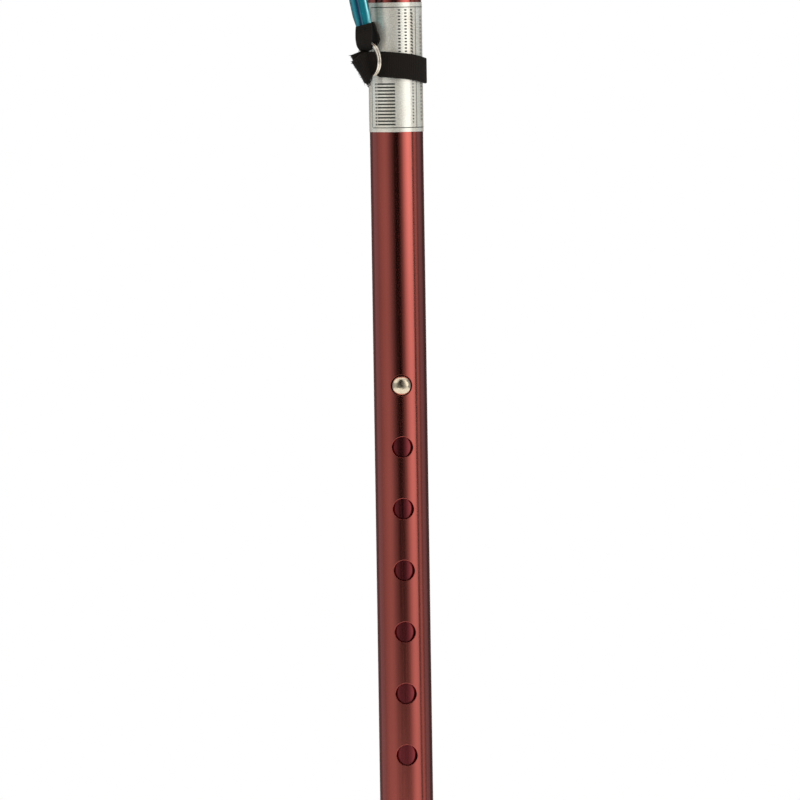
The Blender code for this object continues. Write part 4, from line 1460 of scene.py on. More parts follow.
@dataclass
class UpperSection:
    """The upper tube with its row of holes, and the foil label round it."""

    outer: float = 11.0 * MM
    inner: float = 9.8 * MM
    bottom: float = 152.0 * MM
    top: float = 690.0 * MM
    lowest_hole: float = 195.0 * MM
    hole_pitch: float = 25.4 * MM
    hole_count: int = 7
    hole_radius: float = 4.25 * MM
    screw_height: float = 666.0 * MM
    screw_radius: float = 2.1 * MM
    label_inner: float = 11.06 * MM
    label_outer: float = 11.18 * MM
    label_bottom: float = 451.45 * MM
    label_top: float = 504.45 * MM
    ink_relief: float = 0.012 * MM
    seam_turn: float = 112.0
    seam_overlap: float = 26.0
    seam_step: float = 0.07 * MM
    label_edge: float = 0.04 * MM

    def make_tube(self) -> Piece:
        """The drilled upper tube."""
        front = [
            DrilledHole(self.lowest_hole + number * self.hole_pitch, self.hole_radius, HoleSide.FRONT)
            for number in range(self.hole_count)
        ]
        back = [DrilledHole(self.screw_height, self.screw_radius, HoleSide.BACK)]
        tube = DrilledTube(
            "upper_tube_fine", self.outer, self.inner, self.bottom, self.top, tuple(front + back)
        )
        return dress(tube.build(), RED_TUBE, Body.UPPER, ["upper_tube"])

    def make_label(self) -> Piece:
        """The foil, whose end overlaps its start at the back left."""
        start = math.radians(self.seam_turn)
        width = math.radians(self.seam_overlap)

        def swell(angle: float) -> float:
            """What the overlap adds to the radius at an angle."""
            past = (angle - start) % FULL_TURN
            if past > width:
                return 0.0
            return self.seam_step * min(1.0, past / 0.035) * min(1.0, (width - past) / 0.3)

        outer, inner, bottom, top = self.label_outer, self.label_inner, self.label_bottom, self.label_top
        spots = ((outer, bottom), (outer, top), (inner, top), (inner, bottom))
        corners = [(*spot, self.label_edge) for spot in spots]
        return dress(turned("foil_label", corners, 180, swell, arc_steps=2), FOIL, Body.UPPER, ["tube_label"])

    def rule_blocks(self) -> tuple[RuleBlock, ...]:
        """The label's printed frame, and its plain rules and even ticks."""
        low = self.label_bottom / MM
        high = self.label_top / MM
        tall = high - low - 3.7
        middle = (low + high) / 2
        return (
            RuleBlock("frame_across", 58.0, low + 1.75, 46.5, 0.34, rows=2, row_pitch=tall, steps=65),
            RuleBlock("frame_left", -63.0, middle, 0.30, tall),
            RuleBlock("divider", 46.0, middle, 0.28, tall),
            RuleBlock("fine_ticks", 6.5, middle + 5.2, 1.00, 0.62, 3, 2.72, 15, 1.30),
            RuleBlock("side_ticks", 36.5, middle - 22.5, 0.65, 0.55, rows=35, row_pitch=1.30),
            RuleBlock("edge_ticks", 66.0, middle - 21.5, 1.60, 0.80, rows=29, row_pitch=1.50),
            RuleBlock("bars", -24.8, low + 3.1, 8.0, 0.66, rows=13, row_pitch=1.38, steps=12),
            RuleBlock("bar_ticks", -49.5, low + 3.1, 0.80, 0.66, rows=13, row_pitch=1.38)
        )

    def make_rules(self) -> Piece:
        """The label's printing, as thin raised ink."""
        recipe = wrapped_rules()
        parts = []
        for block in self.rule_blocks():
            part = edge_line(block.name, np.zeros((2, 3)))
            values = {
                "Radius": self.label_outer + self.ink_relief, "Turn": math.radians(block.turn),
                "Start Height": block.start * MM, "Width": block.width * MM, "Height": block.height * MM,
                "Relief": 2 * self.ink_relief, "Column Pitch": block.column_pitch * MM,
                "Row Pitch": block.row_pitch * MM, "Columns": block.columns, "Rows": block.rows,
                "Steps": block.steps, "Material": INK.material()
            }
            parts.append(recipe.run(part, values))
        return dress(joined("label_rules", parts), INK, Body.UPPER)

    def build(self) -> None:
        """Makes the tube and its label."""
        self.make_tube()
        self.make_label()
        self.make_rules()


@dataclass
class LowerSection:
    """The tube that slides in the upper one, with its plug and its rubber tip."""

    outer: float = 9.5 * MM
    inner: float = 8.3 * MM
    bottom: float = 14.1 * MM
    top: float = 382.4 * MM
    button_height: float = 347.4 * MM
    button_hole: float = 4.2 * MM
    tip_height: float = 52.0 * MM
    tip_base: float = 18.5 * MM
    tip_floor: float = 12.0 * MM
    tip_bore: float = 9.8 * MM
    tip_neck: float = 12.4 * MM
    groove_radii: tuple[float, ...] = (7.0 * MM, 11.0 * MM, 15.0 * MM)
    groove_width: float = 1.4 * MM
    groove_depth: float = 1.2 * MM
    bead: float = 0.9 * MM

    def make_tube(self) -> Piece:
        """The drilled lower tube."""
        hole = DrilledHole(self.button_height, self.button_hole, HoleSide.FRONT)
        tube = DrilledTube("lower_tube_fine", self.outer, self.inner, self.bottom, self.top, (hole,))
        return dress(tube.build(), INNER_TUBE_PAINTED_SHADE, Body.LOWER, ["lower_tube"])

    def make_tip(self) -> Piece:
        """The rubber tip: a ribbed foot, a waist, and a beaded sleeve round the tube."""
        base, neck, bead, top = self.tip_base, self.tip_neck, self.bead, self.tip_height
        half = self.groove_width / 2
        corners = [(0.0, 0.0, 0.0)]
        for radius in self.groove_radii:
            corners += [
                (radius - half, 0.0, 0.25 * MM), (radius - half, self.groove_depth, 0.2 * MM),
                (radius + half, self.groove_depth, 0.2 * MM), (radius + half, 0.0, 0.25 * MM)
            ]
        corners += [
            (base - 0.6 * MM, 0.0, 0.7 * MM), (base, 1.2 * MM, 0.6 * MM), (base, 0.09 * top, 1.0 * MM),
            (base - 0.7 * MM, 0.105 * top, 0.3 * MM), (base - 0.7 * MM, 0.12 * top, 0.3 * MM),
            (base - 1.6 * MM, 0.15 * top, 1.2 * MM), (neck + 2.4 * MM, 0.30 * top, 5.0 * MM),
            (neck + 0.4 * MM, 0.46 * top, 8.0 * MM), (neck, top - 5.8 * MM, 0.6 * MM),
            (neck + bead, top - 4.8 * MM, 0.9 * MM), (neck + bead, top - 0.2 * MM, 0.9 * MM),
            (self.tip_bore + 0.1 * MM, top, 0.6 * MM), (self.tip_bore, self.tip_floor, 0.3 * MM),
            (0.0, self.tip_floor, 0.0)
        ]
        tip = turned("rubber_tip_fine", corners, 96, closed=False, arc_steps=5)
        return dress(tip, RUBBER, Body.LOWER, ["rubber_tip"])

    def make_tip_ribs(self) -> Piece:
        """Short upright ribs round the foot of the tip, as the mould leaves them."""
        line = np.array(
            [(self.tip_neck + 1.9 * MM, 0.0, 17.2 * MM), (self.tip_neck + 0.5 * MM, 0.0, 24.5 * MM)]
        )
        section = rounded_section(1.3 * MM, 1.0 * MM, 0.45 * MM, 2, 2)
        rib = swept("tip_ribs", line, (0.0, 1.0, 0.0), (1.0, 0.0, 0.0), section)
        ring_of_copies().run(rib, {"Count": 24, "Material": RUBBER.material()})
        return dress(rib, RUBBER, Body.LOWER)

    def build(self) -> None:
        """Makes the tube and the tip, and dresses the hidden nodes."""
        self.make_tube()
        self.make_tip()
        self.make_tip_ribs()
        dress_node("glide_plug", NYLON)
        dress_node("tip_washer", SPRING_STEEL)


@dataclass
class SnapButton:
    """The domed button in the highest hole, and the leaf spring behind it."""

    height: float = 347.4 * MM
    radius: float = 3.9 * MM
    base: float = 10.8 * MM
    dome: float = 3.0 * MM
    roundness: float = 2.5
    back: float = 7.3 * MM
    stub_radius: float = 1.4 * MM
    stub_end: float = 6.1 * MM
    leaf_radius: float = 6.7 * MM
    leaf_width: float = 7.6 * MM
    leaf_thick: float = 0.6 * MM
    leaf_up: float = 13.0 * MM
    leaf_down: float = 26.0 * MM
    leaf_rear_up: float = 4.0 * MM
    leaf_hole: float = 1.7 * MM

    def make_button(self) -> Piece:
        """The button, turned from nickel-plated brass."""
        rings = 20
        power = 2.0 / self.roundness
        corners = []
        for step in range(rings + 1):
            angle = 0.5 * math.pi * step / rings
            across = max(0.0, math.sin(angle)) ** power
            up = max(0.0, math.cos(angle)) ** power
            corners.append((self.radius * across, self.base + self.dome * up, 0.0))
        corners += [
            (self.radius, self.back, 0.3 * MM), (self.stub_radius, self.back, 0.1 * MM),
            (self.stub_radius, self.stub_end, 0.3 * MM), (0.0, self.stub_end, 0.0)
        ]
        button = laid(turned("snap_button_fine", corners, closed=False), self.height, HoleSide.FRONT)
        return dress(button, STRUCK_NICKEL, Body.BUTTON, ["snap_button"])

    def make_leaf(self) -> Piece:
        """The leaf spring: a strip bent in a U, whose front arm lies behind the button."""
        radius, low = self.leaf_radius, -self.leaf_down
        path = [(-radius, up) for up in np.linspace(self.leaf_up, low, 40)]
        for part in np.linspace(0.0, math.pi, 21)[1:]:
            path.append((-math.cos(part) * radius, low - math.sin(part) * radius))
        path += [(radius, up) for up in np.linspace(low, self.leaf_rear_up, 9)[1:]]
        centres = np.array([(0.0, y, self.height + up) for y, up in path])
        across = (1.0, 0.0, 0.0)
        outward = unit(np.cross(across, np.gradient(centres, axis=0)))
        section = rounded_section(self.leaf_width, self.leaf_thick, 0.2 * MM)
        leaf = swept("button_leaf_spring", centres, across, outward, section)
        drill = pin("leaf_hole", self.leaf_hole, radius - 1.0 * MM, radius + 1.0 * MM, 32)
        cut(leaf, laid(drill, self.height, HoleSide.FRONT))
        dress(leaf, SPRING_STEEL, None, ["button_spring"])
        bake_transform(leaf)
        return leaf

    def build(self) -> None:
        """Makes the button and its spring."""
        self.make_button()
        self.make_leaf()


@dataclass
class Clamp:
    """The anti-rattle clamp at the upper tube's lower end."""

    bottom: float = 129.5 * MM
    nut_top: float = 158.0 * MM
    nut_inner: float = 13.8 * MM
    nut_body: float = 15.7 * MM
    nut_rib: float = 16.5 * MM
    lip: float = 2.6 * MM
    bore: float = 9.95 * MM
    rib_count: int = 16
    sleeve_inner: float = 11.3 * MM
    sleeve_outer: float = 13.5 * MM
    sleeve_top: float = 171.0 * MM
    sleeve_bottom: float = 140.0 * MM
    thread_top: float = 158.0 * MM
    thread_pitch: float = 3.0 * MM
    thread_depth: float = 0.5 * MM

    def make_nut(self) -> Piece:
        """The nut's smooth body, with its lip under the collet."""
        inner, body, low, top = self.nut_inner, self.nut_body, self.bottom, self.nut_top
        corners = (
            (self.bore, low, 0.3 * MM), (body - 0.6 * MM, low, 1.0 * MM), (body, low + 1.6 * MM, 0.8 * MM),
            (body, top - 1.4 * MM, 0.9 * MM), (body - 0.5 * MM, top, 0.5 * MM), (inner, top, 0.3 * MM),
            (inner, low + self.lip, 0.1 * MM), (self.bore, low + self.lip, 0.2 * MM)
        )
        return dress(turned("lock_nut_body", corners, 128), CLAMP_PLASTIC, Body.NUT, ["lock_nut"])

    def make_ribs(self) -> Piece:
        """The nut's grip ribs, which run out at both ends."""
        low, high = self.bottom + 3.0 * MM, self.nut_top - 2.6 * MM
        heights = (low, low + 0.5 * MM, low + 1.6 * MM, high - 1.6 * MM, high - 0.5 * MM, high)
        sizes = np.array([0.25, 0.75, 1.0, 1.0, 0.75, 0.25])
        middle = self.nut_body - 0.25 * MM
        centres = np.array([(middle, 0.0, height) for height in heights])
        reach = 2 * (self.nut_rib - middle)
        base = rounded_section(3.4 * MM, reach, 0.49 * reach, 4, 3)
        sections = base[None] * np.stack([0.55 + 0.45 * sizes, sizes], axis=1)[:, None, :]
        rib = swept("lock_nut_ribs", centres, (0.0, 1.0, 0.0), (1.0, 0.0, 0.0), sections)
        ring_of_copies().run(rib, {"Count": self.rib_count, "Material": CLAMP_PLASTIC.material()})
        return dress(rib, CLAMP_PLASTIC, Body.NUT)

    def make_sleeve(self) -> Piece:
        """The sleeve that is fixed round the tube: a collar above a real screw thread."""
        inner, outer, low, top = self.sleeve_inner, self.sleeve_outer, self.sleeve_bottom, self.sleeve_top
        heights = np.concatenate([
            np.linspace(low + 0.4 * MM, self.thread_top, 76),
            np.linspace(self.thread_top + 0.5 * MM, top - 1.0 * MM, 4)
        ])[:, None]
        angles = np.arange(96) * FULL_TURN / 96
        phase = (heights - low) / self.thread_pitch - angles / FULL_TURN
        tooth = np.clip(1.6 * np.abs(2.0 * (phase % 1.0) - 1.0) - 0.2, 0.0, 1.0)
        run_in = np.clip((heights - low - 0.6 * MM) / (1.5 * MM), 0.0, 1.0)
        run_out = np.clip((self.thread_top - heights) / (2.0 * MM), 0.0, 1.0)
        shell = Shell()
        rings = [
            shell.corners(round_z(outer - self.thread_depth * tooth * run_in * run_out, angles, heights))
        ]
        for radius, height in (
            (outer - 0.25 * MM, top - 0.35 * MM), (outer - 0.9 * MM, top), (inner + 0.2 * MM, top),
            (inner, top - 0.3 * MM), (inner, low + 0.2 * MM), (inner + 0.2 * MM, low), (outer - 0.4 * MM, low)
        ):
            rings.append(shell.corners(round_z(radius, angles, height)[None]))
        shell.skin(np.vstack(rings), close_rows=True, close_columns=True)
        return dress(shell.build("thread_sleeve_fine", 50.0), CLAMP_PLASTIC, Body.UPPER, ["thread_sleeve"])

    def build(self) -> None:
        """Makes the nut and the sleeve, and dresses the hidden nodes."""
        self.make_nut()
        self.make_ribs()
        self.make_sleeve()
        dress_node("collet", NYLON)
        dress_node("slip_washer", SPRING_STEEL)


# The handle


@dataclass
class HandleHead:
    """The moulded handle on its neck, the trim ring below it, and the screw at its back."""

    spine_height: float = 706.5 * MM
    width_share: float = 1.08
    neck_bottom: float = 653.0 * MM
    neck_height: float = 42.0 * MM
    neck_radius: float = 15.9 * MM
    neck_flare: float = 3.2 * MM
    socket_radius: float = 11.3 * MM
    socket_top: float = 690.3 * MM
    screw_height: float = 666.0 * MM
    screw_radius: float = 1.8 * MM
    screw_head: float = 3.4 * MM
    head_top: float = 15.9 * MM
    head_thick: float = 2.0 * MM
    trim_inner: float = 11.3 * MM
    trim_outer: float = 14.3 * MM
    trim_bottom: float = 645.7 * MM
    trim_height: float = 7.0 * MM
    voxel: float = 0.8 * MM
    blend_reach: float = 11.0 * MM
    blend_rounds: int = 90
    valley_radius: float = 17.5 * MM
    valley_width: float = 7.0 * MM
    valley_height: float = 692.5 * MM

    # Along X from the long end to the nose, above the spine's middle height, radius; in millimetres
    spine: tuple[Point, ...] = (
        (-78.5, -2.4, 4.0), (-77.0, -2.2, 8.0), (-72.0, -1.8, 10.9), (-58.0, -1.0, 12.0), (-38.0, -0.4, 12.3),
        (-14.0, 0.0, 13.0), (10.0, -0.5, 13.8), (29.0, -3.6, 13.5), (42.0, -9.8, 12.2), (48.5, -16.5, 9.4),
        (51.0, -20.6, 5.6), (51.6, -21.8, 3.0)
    )

    def make_grip(self) -> Piece:
        """The swept grip, with domed ends."""
        line = smooth_line(self.spine, 120) * MM
        ways = unit(np.gradient(line[:, :2], axis=0))
        around = np.arange(72) * FULL_TURN / 72
        rows = []
        for (x, up, radius), (way_x, way_z) in zip(line, ways):
            side = np.cos(around) * radius * self.width_share
            high = np.sin(around) * radius
            rows.append(np.stack([x - way_z * high, side, self.spine_height + up + way_x * high], axis=1))
        shell = Shell()
        grid = shell.corners(np.array(rows))
        shell.skin(grid, close_columns=True)
        for row, sign, spot in ((grid[0][::-1], -1.0, 0), (grid[-1], 1.0, -1)):
            x, up = line[spot, :2] + sign * ways[spot] * 0.2 * line[spot, 2]
            (pole,) = shell.corners([[x, 0.0, self.spine_height + up]])
            for first, second in zip(row, np.roll(row, -1)):
                shell.face((pole, first, second))
        return shell.build("handle_grip_fine", 180.0)

    def soften_junction(self, grip: Piece) -> None:
        """Rounds the valley between grip and neck, by averaging the corners near it.

        Args:
            grip: The remeshed handle.
        """
        mesh = grip.data
        count = len(mesh.vertices)
        points = np.empty(count * 3)
        mesh.vertices.foreach_get("co", points)
        points = points.reshape(-1, 3)
        edges = np.empty(len(mesh.edges) * 2, int)
        mesh.edges.foreach_get("vertices", edges)
        one, other = edges.reshape(-1, 2).T
        degree = np.bincount(edges, minlength=count)[:, None]
        away = np.abs(np.hypot(points[:, 0], points[:, 1]) - self.valley_radius) / self.valley_width
        above = np.abs(points[:, 2] - self.valley_height) / self.blend_reach
        strong = (np.minimum(1.0 - np.clip(away, 0.0, 1.0), 1.0 - np.clip(above, 0.0, 1.0)) ** 0.7)[:, None]
        for number in range(self.blend_rounds):
            total = np.zeros_like(points)
            np.add.at(total, one, points[other])
            np.add.at(total, other, points[one])
            step = total / degree - points
            polish = (0.5 if number % 2 == 0 else -0.53) if number < 12 else 0.0
            points = points + step * 0.5 * strong + step * polish * (1.0 - strong)
        mesh.vertices.foreach_set("co", points.ravel())
        mesh.update()

    def make_handle(self) -> Piece:
        """The grip and the neck in one moulding, with the socket and the screw's way cut in it."""
        grip = self.make_grip()
        radius, low, tall = self.neck_radius, self.neck_bottom, self.neck_height
        neck = (
            (0.0, low, 0.0), (radius, low, 1.2 * MM), (radius, low + 0.4 * tall, 20.0 * MM),
            (radius + 0.4 * self.neck_flare, low + 0.72 * tall, 20.0 * MM),
            (radius + self.neck_flare, low + tall, 1.0 * MM), (0.0, low + tall, 0.0)
        )
        cut(grip, turned("neck", neck, closed=False, arc_steps=6), "UNION")
        remesh = grip.modifiers.new("even_skin", "REMESH")
        remesh.mode = "VOXEL"
        remesh.voxel_size = self.voxel
        apply_modifiers(grip)
        self.soften_junction(grip)
        cut(grip, pin("socket", self.socket_radius, low - 5 * MM, self.socket_top, 96))
        seat = self.head_top - self.head_thick - 0.3 * MM
        for name, bore, depth in (
            ("screw_way", self.screw_radius, 0.0), ("screw_seat", self.screw_head, seat)
        ):
            drill = pin(name, bore + 0.3 * MM, depth, 2 * radius, 48)
            cut(grip, laid(drill, self.screw_height, HoleSide.BACK))
        grip.data.shade_smooth()
        grip.data.set_sharp_from_angle(angle=math.radians(42.0))
        return dress(grip, HANDLE_PLASTIC, Body.UPPER, ["handle_grip"])

    def make_trim(self) -> Piece:
        """The bright ring, with two fine grooves."""
        inner, outer, low = self.trim_inner, self.trim_outer, self.trim_bottom
        high = low + self.trim_height
        floor = outer - 0.25 * MM
        corners = [
            (inner, low, 0.2 * MM), (outer - 0.5 * MM, low, 0.5 * MM), (outer, low + 0.6 * MM, 0.4 * MM)
        ]
        for middle in (low + 2.0 * MM, high - 2.0 * MM):
            for radius, up in ((outer, -0.35), (floor, -0.15), (floor, 0.15), (outer, 0.35)):
                corners.append((radius, middle + up * MM, 0.1 * MM))
        corners += [
            (outer, high - 0.6 * MM, 0.4 * MM), (outer - 0.5 * MM, high, 0.5 * MM), (inner, high, 0.2 * MM)
        ]
        return dress(turned("trim_ring_fine", corners, 128), NICKEL, Body.UPPER, ["trim_ring"])

    def make_screw(self) -> Piece:
        """The countersunk cross-slot screw."""
        top, head, radius = self.head_top, self.screw_head, self.screw_radius
        seat = top - self.head_thick
        end = 4.5 * MM
        corners = [
            (0.0, top, 0.0), (head - 0.9 * MM, top - 0.05 * MM, 0.6 * MM), (head, top - 0.7 * MM, 0.4 * MM),
            (head, seat, 0.1 * MM), (radius, seat, 0.2 * MM)
        ]
        turns = 6
        pitch = (seat - end - 3.0 * MM) / turns
        for number in range(turns):
            height = seat - 1.2 * MM - number * pitch
            corners += [(radius, height, 0.05 * MM), (radius - 0.4 * MM, height - 0.5 * pitch, 0.05 * MM)]
        corners += [(radius, end + 1.8 * MM, 0.05 * MM), (0.0, end, 0.0)]
        screw = turned("handle_screw_fine", corners, 64, closed=False, arc_steps=3)
        for size in ((4.4, 0.9, 2.0), (0.9, 4.4, 2.0)):
            work = bmesh.new()
            scale = Matrix.Diagonal((*(part * MM for part in size), 1.0))
            bmesh.ops.create_cube(work, size=1.0, matrix=Matrix.Translation((0, 0, top)) @ scale)
            mesh = bpy.data.meshes.new("slot")
            work.to_mesh(mesh)
            work.free()
            cut(screw, linked("slot", mesh))
        screw.data.shade_smooth()
        screw.data.set_sharp_from_angle(angle=math.radians(35.0))
        return dress(laid(screw, self.screw_height, HoleSide.BACK), NICKEL, Body.UPPER, ["handle_screw"])

    def build(self) -> None:
        """Makes the handle's pieces, and dresses the hidden plug."""
        self.make_handle()
        self.make_trim()
        self.make_screw()
        dress_node("handle_plug", NYLON)


# The wrist strap


@dataclass
class WristLoop:
    """The flat glossy cord that rises from the tab, goes over the handle and comes back."""

    width: float = 7.5 * MM
    seen_width: float = 7.3 * MM
    waist: float = 0.80
    waist_length: float = 6.0 * MM
    thickness: float = 4.0 * MM
    lean: float = 0.195
    foot_x: float = -13.6 * MM
    foot_z: float = 497.0 * MM
    length: float = 0.477
    points: int = 260
    tuck: float = 3.5 * MM

    # The loop's middle line across (Y) and up (Z), as in the CAD source
    route: tuple[tuple[float, float], ...] = (
        (-0.0137, 0.4970), (-0.0139, 0.5070), (-0.0144, 0.5250), (-0.0156, 0.5550), (-0.0163, 0.5950),
        (-0.0169, 0.6400), (-0.0171, 0.6800), (-0.0167, 0.7000), (-0.0153, 0.7100), (-0.0122, 0.7159),
        (-0.0067, 0.7196), (0.0000, 0.7208), (0.0067, 0.7196), (0.0122, 0.7159), (0.0153, 0.7100),
        (0.0167, 0.7000), (0.0166, 0.6850), (0.0147, 0.6550), (0.0106, 0.6150), (0.0052, 0.5750),
        (-0.0008, 0.5400), (-0.0056, 0.5180), (-0.0084, 0.5045), (-0.0094, 0.4970)
    )

    def section(self) -> Array:
        """The cord's outline: a flat oval with a shallow valley along each broad side."""
        fillet = 0.46 * self.thickness
        outline = rounded_section(self.seen_width, self.thickness, fillet, 6, 10)
        share = np.clip(np.abs(outline[:, 0]) / (0.5 * self.seen_width), 0.0, 1.0)
        crown = 1.0 - 0.10 * np.exp(-((share / 0.22) ** 2)) - 0.12 * share**3
        outline[:, 1] *= crown
        return outline

    def build(self) -> Piece:
        """Returns:
            The cord's object.
        """
        angle = math.atan(self.lean)
        foot = np.array([self.foot_x, 0.0, self.foot_z])
        rising = np.array([-math.sin(angle), 0.0, math.cos(angle)])
        sideways = np.array([0.0, 1.0, 0.0])
        broad = np.cross(sideways, rising)
        flat = np.array([(y, (z - self.foot_z) / math.cos(angle)) for y, z in self.route])
        line = smooth_line(flat, self.points)
        path = foot + line[:, :1] * sideways + line[:, 1:] * rising
        first, last = (unit(end - inner) * self.tuck for end, inner in (path[:2], path[:-3:-1]))
        centres = np.vstack([path[0] + first, path, path[-1] + last])
        outward = unit(np.cross(unit(np.gradient(centres, axis=0)), broad))
        travelled = lengths_along(centres)
        to_end = np.minimum(travelled, travelled[-1] - travelled)
        narrow = self.waist + (1.0 - self.waist) * np.clip(to_end / self.waist_length, 0.0, 1.0)
        sections = self.section() * np.stack([narrow, np.ones_like(narrow)], axis=1)[:, None]
        cord = swept("wrist_loop_fine", centres, broad, outward, sections, crease=60.0)
        dress(cord, BRAID, Body.UPPER, ["wrist_loop"])
        return cord


@dataclass
class WristFittings:
    """The webbing round the shaft with its sewn tail, the split ring, and the sewn tab."""

    turn: float = -2.6
    facing: float = 34.0
    strap_height: float = 478.4 * MM
    strap_inner: float = 11.48 * MM
    strap_thick: float = 1.3 * MM
    strap_width: float = 10.6 * MM
    slope: float = 0.172
    front_rise: float = 0.36 * MM
    rise_start: float = 4.5 * MM
    gather: float = 1.5 * MM
    gather_start: float = 11.0 * MM
    sideways: float = 2.9 * MM
    layer_gap: float = 0.2 * MM
    bend: float = 1.5 * MM
    ring_out: float = 14.6 * MM
    ring_above: float = 1.4 * MM
    ring_radius: float = 6.7 * MM
    ring_lean: float = 7.0
    ring_radial: float = 1.1 * MM
    ring_axial: float = 0.92 * MM
    rib_pitch: float = 0.9 * MM
    rib_height: float = 0.07 * MM
    gather_run: float = 1.6 * MM
    front_spread: float = 0.35 * MM
    rear_spread: float = -0.25 * MM

    # A tail layer's edges, as (outwards, up from the strap's middle height) in millimetres
    front_edges: tuple[Curve, Curve] = (
        ((13.6, -2.9), (14.7, -3.0), (15.5, -5.4), (16.9, -7.2)), ((13.6, 6.1), (18.8, 5.5), (24.1, 2.3))
    )
    rear_edges: tuple[Curve, Curve] = (
        ((13.6, -2.9), (14.7, -3.0), (15.4, -5.3), (16.4, -6.9)), ((13.6, 6.1), (18.4, 6.2), (23.2, 4.8))
    )

    # The tab's centre X, Y and Z, half width, turn and tilt of the width, from the front's top to the rear's
    tab_rows: tuple[tuple[float, ...], ...] = (
        (-12.70, -16.80, 495.6, 3.45, 0.0, 14.0), (-12.72, -16.80, 493.6, 3.50, 0.0, 9.0),
        (-12.75, -16.70, 491.4, 3.50, -4.0, 4.0), (-12.75, -16.10, 489.4, 3.45, -10.0, 4.0),
        (-12.65, -14.60, 487.4, 3.25, -20.0, 8.0), (-12.20, -12.40, 485.9, 2.80, -34.0, 14.0),
        (-11.50, -10.10, 485.2, 2.40, -48.0, 18.0), (-10.40, -9.00, 485.7, 2.80, -55.0, 16.0),
        (-9.20, -9.25, 487.3, 3.90, -56.0, 8.0), (-8.90, -9.88, 489.0, 4.40, -56.0, 2.0),
        (-9.20, -9.60, 491.4, 4.40, -56.0, 0.0), (-9.90, -8.50, 494.0, 3.75, -56.0, 0.0),
        (-10.40, -7.75, 496.6, 2.90, -56.0, 0.0)
    )

    def __post_init__(self) -> None:
        """Works out the directions of the tail and the ring."""
        facing = math.radians(self.facing)
        self.normal = np.array([math.cos(facing), math.sin(facing), 0.0])
        self.across = np.array([math.sin(facing), -math.cos(facing), 0.0])
        self.out = -self.normal
        self.up = np.array([0.0, 0.0, 1.0])
        self.apart = (self.strap_thick + self.layer_gap) / 2

    def to_world(self, points: Array) -> Array:
        """Points of the wrist set's own frame, in the cane's frame."""
        return points @ np.array(Matrix.Rotation(math.radians(self.turn), 3, "Z")).T

    def ring_centre(self) -> Array:
        """The split ring's centre, in the wrist set's frame."""
        flat = self.sideways * self.across + self.ring_out * self.out
        height = self.strap_height - self.slope * flat[0] + self.ring_above
        return np.array([flat[0], flat[1], height])

    def strap_plan(self) -> Array:
        """The strap's middle line seen from above, from one bend at the tail round to the other.

        Returns:
            The line as (outwards, across).
        """
        middle = self.strap_inner + self.strap_thick / 2
        front, rear = self.sideways + self.apart + self.bend, self.sideways - self.apart - self.bend
        front_out, rear_out = (math.sqrt((middle + self.bend) ** 2 - side**2) for side in (front, rear))
        front_turn, rear_turn = math.atan2(front, front_out), math.atan2(rear, rear_out)
        arcs = (
            (front_out, front, self.bend, np.linspace(-math.pi / 2, front_turn - math.pi, 10)),
            (0.0, 0.0, middle, np.linspace(front_turn, rear_turn + FULL_TURN, 160)[1:-1]),
            (rear_out, rear, self.bend, np.linspace(rear_turn + math.pi, math.pi / 2, 10))
        )
        return np.vstack([
            np.stack([out + radius * np.cos(angles), side + radius * np.sin(angles)], axis=1)
            for out, side, radius, angles in arcs
        ])

    def tail_edges(self, rear: bool) -> tuple[Array, ...]:
        """The lower and the upper edge of a tail layer, as (outwards, up)."""
        edges = self.rear_edges if rear else self.front_edges
        return tuple(smooth_line(np.array(edge) * MM, 28) for edge in edges)

    def make_strap(self) -> Piece:
        """The webbing: one tail layer, the turn round the shaft, and the other tail layer."""
        plan = self.strap_plan()
        turn = plan[:, :1] * self.out + plan[:, 1:] * self.across
        side = np.maximum(turn[:, 0], -self.rise_start)
        front = np.clip(-turn[:, 1] / self.strap_inner, 0.0, 1.0) ** 2 * (1.0 + side / self.rise_start)
        turn[:, 2] = self.strap_height - self.slope * side + self.front_rise * front
        ways = unit(np.gradient(turn[:, :2], axis=0))
        drawn = np.clip((plan[:, :1] - self.gather_start) / self.gather_run, 0.0, 1.0)
        half = self.strap_width / 2 * self.up
        layers = [
            (
                turn - half + drawn * (self.gather * self.up), turn + half,
                np.stack([ways[:, 1], -ways[:, 0], np.zeros(len(ways))], axis=1)
            )
        ]
        for rear in (False, True):
            share = np.linspace(0.0, 1.0, 28)
            low, high = (self.on_tail(edge, share, rear) for edge in self.tail_edges(rear))
            if rear:
                layers.append((low, high, np.tile(-self.across, (28, 1))))
            else:
                layers.insert(0, (low[::-1], high[::-1], np.tile(self.across, (28, 1))))
        lower, upper, facing = (np.vstack(rows) for rows in zip(*layers))
        along = lengths_along((lower + upper) / 2)
        wanted = np.linspace(0.0, along[-1], int(along[-1] / self.rib_pitch * 6))
        lower, upper, facing = (
            np.stack([np.interp(wanted, along, column) for column in rows.T], axis=1)
            for rows in (lower, upper, facing)
        )
        outline = rounded_section(self.strap_width, self.strap_thick, 0.42 * self.strap_thick, 3, 8)
        width = np.linalg.norm(upper - lower, axis=1) / 2 / (self.strap_width / 2)
        ribs = 1.0 + (self.rib_height / (self.strap_thick / 2)) * np.cos(FULL_TURN * wanted / self.rib_pitch)
        strap = self.sweep(
            "shaft_strap_woven", (lower + upper) / 2, unit(upper - lower), unit(facing),
            outline * np.stack([width, ribs], axis=1)[:, None], 70.0
        )
        return dress(strap, WEBBING, Body.UPPER, ["shaft_strap"])

